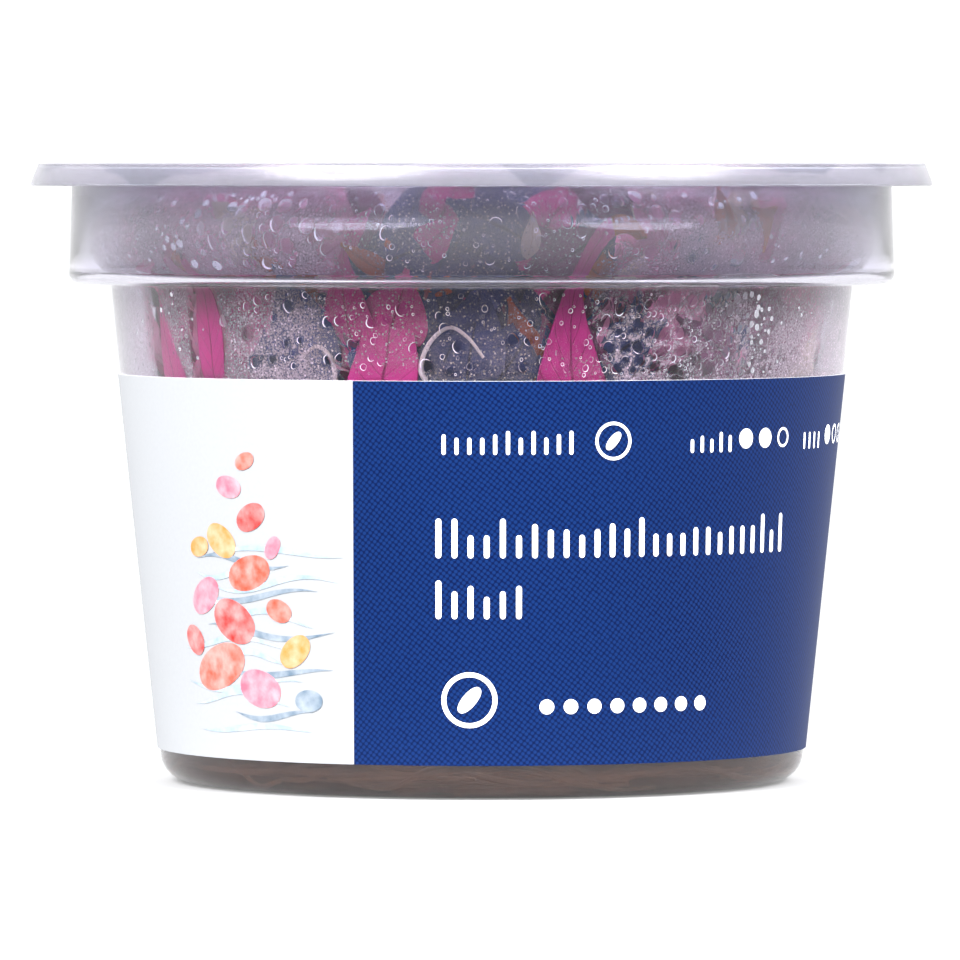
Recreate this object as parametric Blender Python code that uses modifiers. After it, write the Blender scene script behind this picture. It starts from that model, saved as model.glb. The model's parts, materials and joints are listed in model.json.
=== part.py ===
# Alternanthera reineckii growing in a clear culture cup.
# Metres, +Z up. The origin is the centre of the cup's flat base, and the printed front faces -Y.
# Angles round the cup are azimuths in degrees: 0 at the front (-Y), positive towards +X.
# Sizes below are in millimetres, and MM turns them into metres.

import math

import bmesh
import bpy
from mathutils import Vector
from mathutils.bvhtree import BVHTree

MM = 0.001

# Facets round every turned piece, so that neighbours stay parallel
SEGMENTS = 44

# Gap between pieces that touch
GAP = 0.3

# Cup: outer sizes and the wall
WALL = 0.7
FOOT_R = 37.55
FOOT_Z = 3.0
BASE_CORNER_R = 3.3
CORNER_STEPS = 3
LEDGE_R = 43.3
LEDGE_Z = 58.0
LEDGE_BEVEL = 0.4
SHOULDER_FOOT_R = 48.2
SHOULDER_CORNER_R = 1.2
SHOULDER_TOP_R = 47.8
RIM_R = 50.6
RIM_UNDER_Z = 70.2
RIM_TOP_Z = 70.95

# Lid: flange with a drooping skirt, sunk panel, bulged plug ring
LID_TOP_Z = 72.0
LID_WALL = 0.6
LID_TOP_R = 51.8
LID_EDGE_R = 0.3
SKIRT_R = 52.6
SKIRT_Z = 69.4
PANEL_R = 40.0
PANEL_DROP = 0.8
PLUG_TOP_R = 43.8
PLUG_TOP_Z = 69.6
PLUG_WAIST_R = 44.3
PLUG_FOOT_Z = 59.4
PLUG_BULGE = 2.1
PLUG_STEPS = 4

# Label: a wrap on the tapering wall, with its gap at the back
LABEL_LOW_Z = 3.9
LABEL_HIGH_Z = 47.5
LABEL_THICK = 0.2
LABEL_STEPS = 42

# Gel: a disc with a low meniscus at the wall
GEL_TOP_Z = 12.0
MENISCUS = 1.2
MENISCUS_REACH = 3.0
MENISCUS_BEND = 0.4

# Stems stand in sockets in the gel, lean outwards, and bow to one side by some degrees of azimuth
STEM_R = 1.1
STEM_TIP = 0.7
STEM_RUNS = 5
STEM_LEAN = 4.0
STEM_SWAY = 3.0
SOCKET_DEPTH = 4.5
SOCKET_SIDES = 10

# Plantlets: azimuth, distance from the axis, stem height over the gel, turn of the first pair, number of pairs
PLANTLETS = [
    (-52, 29.0, 40, 20, 3),
    (-17, 29.5, 41, 75, 3),
    (16, 29.0, 39, 40, 3),
    (51, 29.5, 44, 80, 3),
    (96, 29.0, 40, 30, 2),
    (141, 29.5, 42, 60, 2),
    (-174, 29.0, 39, 15, 2),
    (-116, 29.5, 41, 50, 2),
]

# Leaf pairs from the lowest up: share of the stem's height, length, width, start pitch, end pitch
PAIRS = [
    (0.45, 21.0, 7.0, 35, 72),
    (0.74, 21.0, 7.8, 48, 85),
    (0.97, 18.5, 7.0, 64, 98),
]

# Leaves that lie on the wall where the cup is clear, by plantlet and number:
# direction of the foot, height of the foot, length, width, start pitch, end pitch, lean, lean at the tip
WALL_LEAVES = {
    (1, 3): (-70, 38.0, 25.0, 7.6, 34, 92, -10, 0),
    (1, 4): (-32, 40.5, 26.0, 7.2, 38, 92, -8, -20),
    (2, 3): (-10, 38.0, 25.0, 9.0, 38, 98, 0, 30),
    (3, 3): (-8, 38.5, 43.0, 12.5, 38, 92, 10, 175),
    (4, 5): (36, 55.5, 25.0, 6.2, 86, -85, -2, -2),
}

# The leaf whose tip curls down in front, and the colours that the leaves off the wall take in turn
CURLED_LEAF = (4, 5)
LEAF_COLOURS = ["plum", "bronze", "magenta"]

# How far the other leaves differ: shares of length and width, degrees of end pitch and end lean,
# and the height between the two leaves of a pair
VARY_LENGTH = 0.12
VARY_WIDTH = 0.15
VARY_PITCH = 12
VARY_LEAN = 18
PAIR_STEP = 0.8

LEAF_THICK = 0.3
LEAF_ACROSS = 2
LEAF_ALONG = 6
LEAF_FOLD = 0.16
PITCH_POWER = 1.5
LEAN_POWER = 6
STEPS_TO_A_FACE = 4
BLADE_SKEW = 0.85
BLADE_POINT = 1.15
PETIOLE_WIDTH = 0.16
PETIOLE_GAP = 0.4
TIP_WIDTH = 0.08
OPEN_CORE_R = 11.5
SHARP_ANGLE = 60

# Turns and tilts that a leaf tries, in degrees, until it is clear of its neighbours
TURNS = [0, 6, -6, 12, -12, 20, -20, 30, -30, 42, -42, 56, -56]
TILTS = [0, 8, -8, 16, -16]

# Aerial roots on the wall: plantlet, height of the foot, then azimuth and height of each bend
ROOT_R = 0.28
ROOT_TIP = 0.5
ROOT_RUNS = 3
ROOTS = [
    (2, 41.0, [(-23.4, 46.0), (-24.2, 49.8), (-26.6, 51.4), (-29.6, 50.2)]),
    (2, 34.0, [(-8.8, 45.0), (-9.4, 49.5), (-5.4, 53.6), (-2.4, 52.2), (0.3, 49.6)]),
    (7, 40.0, [(174, 47.5), (178, 51.0), (183, 52.4), (188, 50.0)]),
]


def clear_scene():
    for thing in list(bpy.data.objects):
        bpy.data.objects.remove(thing, do_unlink=True)
    for group in list(bpy.data.collections):
        bpy.data.collections.remove(group)


def new_collection(name, helper=False):
    group = bpy.data.collections.new(name)
    bpy.context.scene.collection.children.link(group)
    group.hide_render = helper
    return group


def material(name, color, roughness, metallic=0.0, transmission=0.0):
    made = bpy.data.materials.new(name)
    made.use_nodes = True
    shader = made.node_tree.nodes["Principled BSDF"]
    shader.inputs["Base Color"].default_value = (*color, 1.0)
    shader.inputs["Roughness"].default_value = roughness
    shader.inputs["Metallic"].default_value = metallic
    shader.inputs["Transmission Weight"].default_value = transmission
    made.diffuse_color = (*color, 1.0)
    return made


def add_object(name, data, group, finish):
    thing = bpy.data.objects.new(name, data)
    group.objects.link(thing)
    if finish is not None:
        data.materials.append(finish)
    return thing


def polar(radius, azimuth, height):
    """Point in metres at an azimuth, from sizes in millimetres."""
    turn = math.radians(azimuth)
    return Vector((radius * math.sin(turn), -radius * math.cos(turn), height)) * MM


def arc(centre_r, centre_z, radius, start, end, count):
    """Profile points of an arc, angles in degrees, 0 outwards and 90 up."""
    points = []
    for i in range(count + 1):
        angle = math.radians(start + (end - start) * i / count)
        points.append((centre_r + radius * math.cos(angle), centre_z + radius * math.sin(angle)))
    return points


def wall_slope():
    """Outward growth of the tapering wall for each millimetre of height."""
    return (LEDGE_R - FOOT_R) / (LEDGE_Z - FOOT_Z)


def wall_outer(height):
    return FOOT_R + wall_slope() * (height - FOOT_Z)


def wall_inner(height):
    return wall_outer(min(height, LEDGE_Z)) - WALL


def turned(name, profile, group, finish, angle=360.0, steps=SEGMENTS):
    """Solid of revolution: the profile runs down its outer side, in (radius, height) millimetres."""
    mesh = bpy.data.meshes.new(name)
    form = bmesh.new()
    verts = [form.verts.new((r * MM, 0, z * MM)) for r, z in profile]
    for lower, upper in zip(verts, verts[1:]):
        form.edges.new((lower, upper))
    form.to_mesh(mesh)
    form.free()
    thing = add_object(name, mesh, group, finish)
    screw = thing.modifiers.new("Turn", "SCREW")
    screw.angle = math.radians(angle)
    screw.steps = steps
    screw.render_steps = steps
    screw.use_merge_vertices = True
    screw.merge_threshold = 0.00001
    screw.use_smooth_shade = True
    return thing


def make_cup(group, finish):
    tilt = math.degrees(math.atan(wall_slope()))
    corner_z = BASE_CORNER_R
    corner_r = wall_outer(corner_z) - BASE_CORNER_R / math.cos(math.radians(tilt))
    floor_corner = arc(corner_r, corner_z, BASE_CORNER_R - WALL, -90, -tilt, CORNER_STEPS)
    base_corner = arc(corner_r, corner_z, BASE_CORNER_R, -tilt, -90, CORNER_STEPS)
    throat = wall_inner(LEDGE_Z)
    shoulder_in = SHOULDER_FOOT_R - WALL
    ledge_top = LEDGE_Z + WALL
    inner_bend = SHOULDER_CORNER_R - WALL / 2
    foot_r = SHOULDER_FOOT_R - SHOULDER_CORNER_R
    profile = [(0, WALL)]
    profile += floor_corner
    profile += [(throat, LEDGE_Z), (throat + WALL, ledge_top)]
    profile += arc(shoulder_in - inner_bend, ledge_top + inner_bend, inner_bend, -90, 0, CORNER_STEPS - 1)
    profile += [
        (SHOULDER_TOP_R - WALL, RIM_UNDER_Z),
        (SHOULDER_TOP_R - WALL, RIM_TOP_Z),
        (RIM_R, RIM_TOP_Z),
        (RIM_R, RIM_UNDER_Z),
        (SHOULDER_TOP_R, RIM_UNDER_Z),
    ]
    profile += arc(foot_r, LEDGE_Z + SHOULDER_CORNER_R, SHOULDER_CORNER_R, 0, -90, CORNER_STEPS)
    profile += [(LEDGE_R + LEDGE_BEVEL, LEDGE_Z), (LEDGE_R, LEDGE_Z - LEDGE_BEVEL)]
    profile += base_corner
    profile += [(0, 0)]
    return turned("cup", profile, group, finish)


def plug_ring(inset):
    """Profile of the bulged plug ring from its top down, moved inwards by inset."""
    points = []
    for i in range(PLUG_STEPS + 1):
        share = i / PLUG_STEPS
        radius = PLUG_TOP_R + (PLUG_WAIST_R - PLUG_TOP_R) * share + PLUG_BULGE * math.sin(math.pi * share)
        points.append((radius - inset, PLUG_TOP_Z + (PLUG_FOOT_Z - PLUG_TOP_Z) * share))
    return points


def make_lid(group, finish):
    under = LID_TOP_Z - LID_WALL
    # Keeps the wall even round the sloped edge of the panel
    bend = LID_WALL * math.tan(math.radians(45) / 2)
    profile = [
        (0, LID_TOP_Z - PANEL_DROP),
        (PANEL_R, LID_TOP_Z - PANEL_DROP),
        (PANEL_R + PANEL_DROP, LID_TOP_Z),
        (LID_TOP_R - LID_EDGE_R, LID_TOP_Z),
        (LID_TOP_R, LID_TOP_Z - LID_EDGE_R),
        (SKIRT_R, SKIRT_Z),
        (SKIRT_R - LID_WALL, SKIRT_Z),
        (LID_TOP_R - LID_WALL, under),
        (PLUG_TOP_R, under),
    ]
    profile += plug_ring(0)
    profile += reversed(plug_ring(LID_WALL))
    profile += [
        (PLUG_TOP_R - LID_WALL, under),
        (PANEL_R + PANEL_DROP + bend, under),
        (PANEL_R + bend, under - PANEL_DROP),
        (0, under - PANEL_DROP),
    ]
    return turned("lid", profile, group, finish)


def make_label(group, finish):
    """An open band of the wall's taper, thickened outwards from just off the wall."""
    off_wall = GAP / math.cos(math.atan(wall_slope()))
    edge = [(wall_outer(z) + off_wall, z) for z in (LABEL_HIGH_Z, LABEL_LOW_Z)]
    facet = 360.0 / SEGMENTS
    label = turned("label", edge, group, finish, facet * LABEL_STEPS, LABEL_STEPS)
    label.rotation_euler.z = math.radians(90 + facet * (SEGMENTS - LABEL_STEPS) / 2)
    sheet = label.modifiers.new("Sheet", "SOLIDIFY")
    sheet.thickness = LABEL_THICK * MM
    sheet.offset = 1.0
    return label


def stem_foot(plantlet):
    azimuth, distance = PLANTLETS[plantlet - 1][:2]
    return polar(distance, azimuth, GEL_TOP_Z)


def stem_point(plantlet, share):
    """Centre of a stem at a share of its height over the gel. It leans outwards and bows a little sideways."""
    azimuth, distance, height = PLANTLETS[plantlet - 1][:3]
    lean = STEM_LEAN * share * share
    sway = STEM_SWAY * math.sin(math.pi * share) * (1 if plantlet % 2 else -1)
    return polar(distance + lean, azimuth + sway, GEL_TOP_Z + height * share)


def make_gel(group, cutters, finish):
    low = WALL + GAP
    radius = BASE_CORNER_R - WALL - GAP
    tilt = math.degrees(math.atan(wall_slope()))
    corner_r = wall_outer(BASE_CORNER_R) - BASE_CORNER_R / math.cos(math.radians(tilt))
    edge = wall_inner(GEL_TOP_Z + MENISCUS)
    profile = [
        (0, GEL_TOP_Z),
        (edge - MENISCUS_REACH, GEL_TOP_Z),
        (edge - MENISCUS_REACH * MENISCUS_BEND, GEL_TOP_Z + MENISCUS * MENISCUS_BEND),
        (edge - GAP, GEL_TOP_Z + MENISCUS),
    ]
    profile += arc(corner_r, low + radius, radius, -tilt, -90, CORNER_STEPS)
    profile += [(0, low)]
    gel = turned("gel", profile, group, finish)
    for number in range(1, len(PLANTLETS) + 1):
        mesh = bpy.data.meshes.new(f"socket_{number}")
        form = bmesh.new()
        bmesh.ops.create_cone(
            form,
            cap_ends=True,
            segments=SOCKET_SIDES,
            radius1=(STEM_R + GAP) * MM,
            radius2=(STEM_R + GAP) * MM,
            depth=2 * SOCKET_DEPTH * MM,
        )
        form.to_mesh(mesh)
        form.free()
        socket = add_object(f"socket_{number}", mesh, cutters, None)
        socket.location = stem_foot(number)
        socket.display_type = "WIRE"
        socket.hide_render = True
        cut = gel.modifiers.new(f"Socket {number}", "BOOLEAN")
        cut.operation = "DIFFERENCE"
        cut.solver = "EXACT"
        cut.object = socket
    return gel


def tube(name, points, radius, group, finish, tip):
    """Round bar on straight runs between the points, narrowed to a share of its radius at the far end."""
    data = bpy.data.curves.new(name, "CURVE")
    data.dimensions = "3D"
    data.bevel_depth = radius * MM
    data.bevel_resolution = 2
    data.use_fill_caps = True
    run = data.splines.new("POLY")
    run.points.add(len(points) - 1)
    for i, (knot, point) in enumerate(zip(run.points, points)):
        knot.co = (*point, 1.0)
        knot.radius = 1.0 + (tip - 1.0) * i / (len(points) - 1)
    return add_object(name, data, group, finish)


def make_stem(plantlet, group, finish):
    foot = stem_foot(plantlet)
    points = [foot - Vector((0, 0, (SOCKET_DEPTH - GAP) * MM))]
    points += [stem_point(plantlet, i / STEM_RUNS) for i in range(STEM_RUNS + 1)]
    return tube(f"stem_{plantlet}", points, STEM_R, group, finish, STEM_TIP)


def smooth_path(knots, count):
    """Catmull-Rom points through the knots, count to each stretch."""
    ends = [knots[0] * 2 - knots[1]] + knots + [knots[-1] * 2 - knots[-2]]
    points = []
    for a, b, c, d in zip(ends, ends[1:], ends[2:], ends[3:]):
        for i in range(count):
            t = i / count
            points.append(
                0.5 * (2 * b + (c - a) * t + (2 * a - 5 * b + 4 * c - d) * t**2 + (3 * b - a - 3 * c + d) * t**3)
            )
    return points + [knots[-1]]


def make_root(number, group, finish):
    plantlet, height, bends = ROOTS[number - 1]
    stem_height = PLANTLETS[plantlet - 1][2]
    centre = stem_point(plantlet, (height - GEL_TOP_Z) / stem_height)
    knots = [polar(wall_inner(z) - GAP - ROOT_R, azimuth, z) for azimuth, z in bends]
    away = (knots[0] - centre).normalized()
    knots.insert(0, centre + away * (STEM_R + GAP + ROOT_R) * MM)
    points = [held_inside(point, ROOT_R + GAP) for point in smooth_path(knots, ROOT_RUNS)]
    return tube(f"root_{number}", points, ROOT_R, group, finish, ROOT_TIP)


def uneven(count):
    """A value from -1 to 1 that jumps about from one count to the next, the same in each run."""
    return math.sin(1.3 * count * count)


def leaf_specs():
    """Every leaf as (plantlet, number, foot height, direction, length, width, pitch, end pitch, lean, end lean)."""
    on_wall = []
    others = []
    for plantlet, (azimuth, _, height, turn, count) in enumerate(PLANTLETS, 1):
        for pair, (share, length, width, pitch, end_pitch) in enumerate(PAIRS[-count:]):
            for side in (0, 1):
                number = 2 * pair + side + 1
                if (plantlet, number) in WALL_LEAVES:
                    facing, foot, *form = WALL_LEAVES[plantlet, number]
                    on_wall.append((plantlet, number, foot, facing, *form))
                    continue
                facing = azimuth + turn + 90 * pair + 180 * side
                vary = uneven(2 * plantlet + number)
                others.append(
                    (
                        plantlet,
                        number,
                        GEL_TOP_Z + height * share + PAIR_STEP * side,
                        facing,
                        length * (1 + VARY_LENGTH * vary),
                        width * (1 + VARY_WIDTH * uneven(plantlet + 3 * number)),
                        pitch,
                        end_pitch + VARY_PITCH * vary,
                        0,
                        VARY_LEAN * vary,
                    )
                )
    return on_wall + others


def leaf_width(share):
    """Half width of a lance-shaped blade at a share of its length, as a share of its greatest half width."""
    blade = math.sin(math.pi * share**BLADE_SKEW) ** BLADE_POINT if 0 < share < 1 else 0
    return max(blade, PETIOLE_WIDTH if share < 0.5 else TIP_WIDTH)


def held_inside(point, clear):
    """The point, pressed in where it would come nearer than clear to the wall, the lid or the gel."""
    radius = math.hypot(point.x, point.y)
    lowest = (GEL_TOP_Z + MENISCUS + clear) * MM
    highest = (LID_TOP_Z - LID_WALL - PANEL_DROP - clear) * MM
    height = min(max(point.z, lowest), highest)
    facet_sag = wall_inner(height / MM) * (1 - math.cos(math.pi / SEGMENTS))
    most = (wall_inner(height / MM) - facet_sag - clear) * MM
    if radius > most:
        point = Vector((point.x * most / radius, point.y * most / radius, point.z))
    return Vector((point.x, point.y, height))


def leaf_frames(spec, extra_turn, extra_pitch):
    """Centre, side and face vectors at each row of the blade, in metres, walked in short steps from the stem."""
    plantlet, _, foot, facing, length, _, pitch, end_pitch, lean, end_lean = spec
    share = min((foot - GEL_TOP_Z) / PLANTLETS[plantlet - 1][2], 1.0)
    outward = polar(1.0, facing + extra_turn, 0).normalized()
    sideways = Vector((-outward.y, outward.x, 0))
    stem_radius = STEM_R * (1 - (1 - STEM_TIP) * share)
    centre = stem_point(plantlet, share) + outward * (stem_radius + PETIOLE_GAP) * MM
    count = LEAF_ALONG * STEPS_TO_A_FACE
    frames = []
    for i in range(count + 1):
        along = i / count
        rise = math.radians(pitch + extra_pitch + (end_pitch - pitch) * along**PITCH_POWER)
        slant = math.radians(lean + (end_lean - lean) * along**LEAN_POWER)
        climb = outward * math.cos(rise) + Vector((0, 0, 1)) * math.sin(rise)
        heading = climb * math.cos(slant) + sideways * math.sin(slant)
        side = sideways * math.cos(slant) - climb * math.sin(slant)
        if i % STEPS_TO_A_FACE == 0:
            frames.append((centre.copy(), side, heading.cross(side)))
        centre += heading * length * MM / count
    return frames


def leaf_form(spec, extra_turn, extra_pitch, thick):
    """A bmesh of one blade: a grid bent along its midrib, folded, pressed inside the cup and thickened."""
    width = spec[5]
    frames = leaf_frames(spec, extra_turn, extra_pitch)
    form = bmesh.new()
    bmesh.ops.create_grid(form, x_segments=LEAF_ACROSS, y_segments=LEAF_ALONG, size=1.0)
    for vert in form.verts:
        along = (vert.co.y + 1) / 2
        across = vert.co.x
        centre, side, face = frames[round(along * LEAF_ALONG)]
        half = leaf_width(along) * width / 2 * MM
        point = centre + side * across * half + face * abs(across) * half * LEAF_FOLD
        vert.co = held_inside(point, LEAF_THICK / 2 + GAP)
    bmesh.ops.recalc_face_normals(form, faces=form.faces)
    bmesh.ops.solidify(form, geom=list(form.faces), thickness=thick * MM)
    bmesh.ops.recalc_face_normals(form, faces=form.faces)
    return form


def evaluated_tree(thing):
    bpy.context.view_layer.update()
    graph = bpy.context.evaluated_depsgraph_get()
    return BVHTree.FromObject(thing, graph)


def is_free(spec, turn, tilt, neighbours):
    """Whether a blade at this turn and tilt keeps its gap to every other piece and leaves the core open."""
    own_stem = f"stem_{spec[0]}"
    blade = leaf_form(spec, turn, tilt, LEAF_THICK)
    grown = leaf_form(spec, turn, tilt, LEAF_THICK + 2 * GAP)
    blade_tree = BVHTree.FromBMesh(blade)
    grown_tree = BVHTree.FromBMesh(grown)
    core = min(math.hypot(vert.co.x, vert.co.y) for vert in blade.verts)
    blade.free()
    grown.free()
    if core < OPEN_CORE_R * MM:
        return False
    for name, tree in neighbours.items():
        if (blade_tree if name == own_stem else grown_tree).overlap(tree):
            return False
    return True


def leaf_colour(plantlet, number):
    """Leaves on the wall turn their magenta undersides outwards, all but the curled one, and the rest take turns."""
    if (plantlet, number) == CURLED_LEAF:
        return "bronze"
    if (plantlet, number) in WALL_LEAVES:
        return "magenta"
    return LEAF_COLOURS[(2 * plantlet + number) % len(LEAF_COLOURS)]


def place_leaves(group, finishes, neighbours):
    """Each leaf takes the first small turn and tilt that keeps it clear of every piece before it."""
    for spec in leaf_specs():
        plantlet, number = spec[:2]
        places = [(turn, tilt) for tilt in TILTS for turn in TURNS]
        turn, tilt = next(place for place in places if is_free(spec, *place, neighbours))
        name = f"leaf_{plantlet}_{number}"
        mesh = bpy.data.meshes.new(name)
        form = leaf_form(spec, turn, tilt, LEAF_THICK)
        form.to_mesh(mesh)
        form.free()
        mesh.shade_smooth()
        mesh.set_sharp_from_angle(angle=math.radians(SHARP_ANGLE))
        leaf = add_object(name, mesh, group, finishes[leaf_colour(plantlet, number)])
        neighbours[name] = evaluated_tree(leaf)


def main():
    clear_scene()
    parts = new_collection("alternanthera_in_cup")
    cutters = new_collection("cutters", helper=True)

    clear_cup = material("clear_polypropylene", (0.90, 0.89, 0.94), 0.08, transmission=0.9)
    clear_lid = material("clear_lid_plastic", (0.90, 0.89, 0.94), 0.10, transmission=0.9)
    print_film = material("printed_label", (0.03, 0.10, 0.35), 0.45)
    nutrient = material("nutrient_gel", (0.55, 0.48, 0.38), 0.15, transmission=0.7)
    stalk = material("plum_stem", (0.40, 0.08, 0.18), 0.5)
    blades = {
        "magenta": material("magenta_leaf", (0.55, 0.03, 0.18), 0.45),
        "plum": material("plum_leaf", (0.22, 0.04, 0.12), 0.45),
        "bronze": material("bronze_leaf", (0.30, 0.12, 0.08), 0.45),
    }
    white_root = material("white_root", (0.75, 0.70, 0.66), 0.4)

    make_cup(parts, clear_cup)
    make_lid(parts, clear_lid)
    make_label(parts, print_film)
    make_gel(parts, cutters, nutrient)
    neighbours = {}
    for plantlet in range(1, len(PLANTLETS) + 1):
        stem = make_stem(plantlet, parts, stalk)
        neighbours[stem.name] = evaluated_tree(stem)
    for number in range(1, len(ROOTS) + 1):
        root = make_root(number, parts, white_root)
        neighbours[root.name] = evaluated_tree(root)
    place_leaves(parts, blades, neighbours)


main()
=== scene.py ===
import json
import math
import random

import bmesh
import bpy
import numpy as np
from mathutils import Matrix, Vector
from mathutils.bvhtree import BVHTree

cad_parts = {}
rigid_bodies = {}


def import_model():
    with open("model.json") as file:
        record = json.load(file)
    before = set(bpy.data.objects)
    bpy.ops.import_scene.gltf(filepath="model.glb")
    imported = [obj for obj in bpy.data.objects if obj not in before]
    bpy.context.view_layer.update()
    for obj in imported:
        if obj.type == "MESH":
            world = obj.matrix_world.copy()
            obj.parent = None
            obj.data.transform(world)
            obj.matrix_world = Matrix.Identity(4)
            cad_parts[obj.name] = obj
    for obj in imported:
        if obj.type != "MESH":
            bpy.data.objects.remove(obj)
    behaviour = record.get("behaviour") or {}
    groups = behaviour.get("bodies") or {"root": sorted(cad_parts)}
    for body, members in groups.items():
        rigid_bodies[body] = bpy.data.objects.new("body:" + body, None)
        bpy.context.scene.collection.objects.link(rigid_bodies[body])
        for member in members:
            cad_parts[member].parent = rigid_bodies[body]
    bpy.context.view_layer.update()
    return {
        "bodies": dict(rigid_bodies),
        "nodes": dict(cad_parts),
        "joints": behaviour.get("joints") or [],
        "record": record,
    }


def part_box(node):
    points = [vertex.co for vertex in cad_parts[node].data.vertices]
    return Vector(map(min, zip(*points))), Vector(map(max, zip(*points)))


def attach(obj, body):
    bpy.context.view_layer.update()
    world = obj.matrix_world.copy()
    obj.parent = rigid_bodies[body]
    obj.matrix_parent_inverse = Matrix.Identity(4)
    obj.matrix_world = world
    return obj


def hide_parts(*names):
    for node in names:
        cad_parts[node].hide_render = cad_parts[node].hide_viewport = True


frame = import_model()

# A clear culture cup of red-leaved aquarium plantlets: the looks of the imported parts.
# Sizes are in millimetres; mm turns them into metres. Angles round the cup are azimuths in degrees,
# 0 at the printed front (-Y) and positive towards +X.
mm = 0.001


# Helpers

def linear(code):  # "#rrggbb" in sRGB to linear
    shares = [int(code[i:i + 2], 16) / 255 for i in (1, 3, 5)]
    return [s / 12.92 if s <= 0.04045 else ((s + 0.055) / 1.055) ** 2.4 for s in shares] + [1.0]


def wire(tree, node, inputs):  # an input is a link, or a plain value
    for key, value in inputs.items():
        if isinstance(value, bpy.types.NodeSocket):
            tree.links.new(value, node.inputs[key])
        else:
            node.inputs[key].default_value = value


def addNode(tree, kind, inputs, output=0, **settings):  # adds a node and gives the output that is asked for
    made = tree.nodes.new("ShaderNode" + kind)
    for key, value in settings.items():
        setattr(made, key, value)
    wire(tree, made, inputs)
    return made.outputs if output == "all" else made.outputs[output]


eased = {"interpolation_type": "SMOOTHSTEP"}  # for a MapRange that starts and ends softly


def newMaterial(name):
    made = bpy.data.materials.new(name)
    made.use_nodes = True
    return made, made.node_tree, made.node_tree.nodes["Principled BSDF"]


def mixColours(tree, share, first, second):
    return addNode(tree, "Mix", {"Factor": share, 6: first, 7: second}, 2, data_type="RGBA")


def mottled(name, grain, detail, first, second, inputs):  # its colour drifts between two; grain is in metres
    material, tree, shader = newMaterial(name)
    place = addNode(tree, "TexCoord", {}, "Object")
    cloud = addNode(tree, "TexNoise", {"Vector": place, "Scale": 1 / grain, "Detail": detail})
    wire(tree, shader, {"Base Color": mixColours(tree, cloud, linear(first), linear(second)), **inputs})
    return material, tree, shader, cloud


def addPiece(name, form, materials, slot, nodes=(), sharp=40):
    bmesh.ops.recalc_face_normals(form, faces=form.faces)
    mesh = bpy.data.meshes.new(name)
    form.to_mesh(mesh)
    form.free()
    for material in materials:
        mesh.materials.append(material)
    mesh.shade_smooth()
    mesh.set_sharp_from_angle(angle=math.radians(sharp))
    piece = bpy.data.objects.new(name, mesh)
    bpy.context.scene.collection.objects.link(piece)
    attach(piece, "root")
    if nodes:
        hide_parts(*nodes)
    return piece


def polar(radius, azimuth, height):
    turn = math.radians(azimuth)
    return Vector((radius * math.sin(turn), -radius * math.cos(turn), height)) * mm


def arc(centreR, centreZ, radius, start, end, count):
    angles = [math.radians(start + (end - start) * i / count) for i in range(count + 1)]
    return [(centreR + radius * math.cos(a), centreZ + radius * math.sin(a)) for a in angles]


def run(first, last, step):  # points from first up to last, not counting last
    count = max(1, round(math.dist(first, last) / step))
    return [tuple(a + (b - a) * i / count for a, b in zip(first, last)) for i in range(count)]


def turned(profile, steps):  # closed solid of revolution from (radius, height) points, in 20 equal slices
    form, slices = bmesh.new(), 20
    verts = [form.verts.new((r * mm, 0, z * mm)) for r, z in profile]
    edges = [form.edges.new(pair) for pair in zip(verts, verts[1:])]
    bmesh.ops.spin(form, geom=verts + edges, cent=(0, 0, 0), axis=(0, 0, 1), angle=math.tau / slices,
                   steps=steps // slices, use_merge=False)
    first = form.verts[:] + form.edges[:] + form.faces[:]
    for i in range(1, slices):
        made = bmesh.ops.duplicate(form, geom=first)["geom"]
        bmesh.ops.rotate(form, verts=[item for item in made if isinstance(item, bmesh.types.BMVert)],
                         cent=(0, 0, 0), matrix=Matrix.Rotation(math.tau * i / slices, 3, "Z"))
    bmesh.ops.remove_doubles(form, verts=form.verts, dist=0.002 * mm)
    return form


def spread(deal, most):
    return deal.uniform(-most, most)


def between(knots, place):  # straight runs between (place, value) knots
    for (start, first), (end, last) in zip(knots, knots[1:]):
        if start <= place <= end:
            return first + (last - first) * (place - start) / (end - start)


# Camera, lights, floor and world

stage = {
    "target": (-0.0002, 0, 0.035), "distance": 1.11, "elevation": 1.9, "lens": 356,
    # how bright the camera sees the backdrop, and how bright the tent is behind the cup, at its sides, in
    # front where the room is dark, and overhead
    "backdrop": 1.15, "behind": 1.15, "sides": 0.78, "front": 0.38, "overhead": 2.3,
    "floorRadius": 0.055, "glow": 0.3,
    # lights: azimuth, elevation, distance, size, watts
    "key": (-38, 33, 0.9, 0.6, 26.0),
    "fill": (48, 33, 0.9, 0.6, 22.0),
    "back": (150, 55, 0.9, 0.7, 3.5),
}


def aim(thing, target):
    thing.rotation_euler = (Vector(target) - thing.location).to_track_quat("-Z", "Y").to_euler()


def around(azimuth, elevation, distance):
    return polar(distance * math.cos(math.radians(elevation)) / mm, azimuth,
                 distance * math.sin(math.radians(elevation)) / mm)


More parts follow.
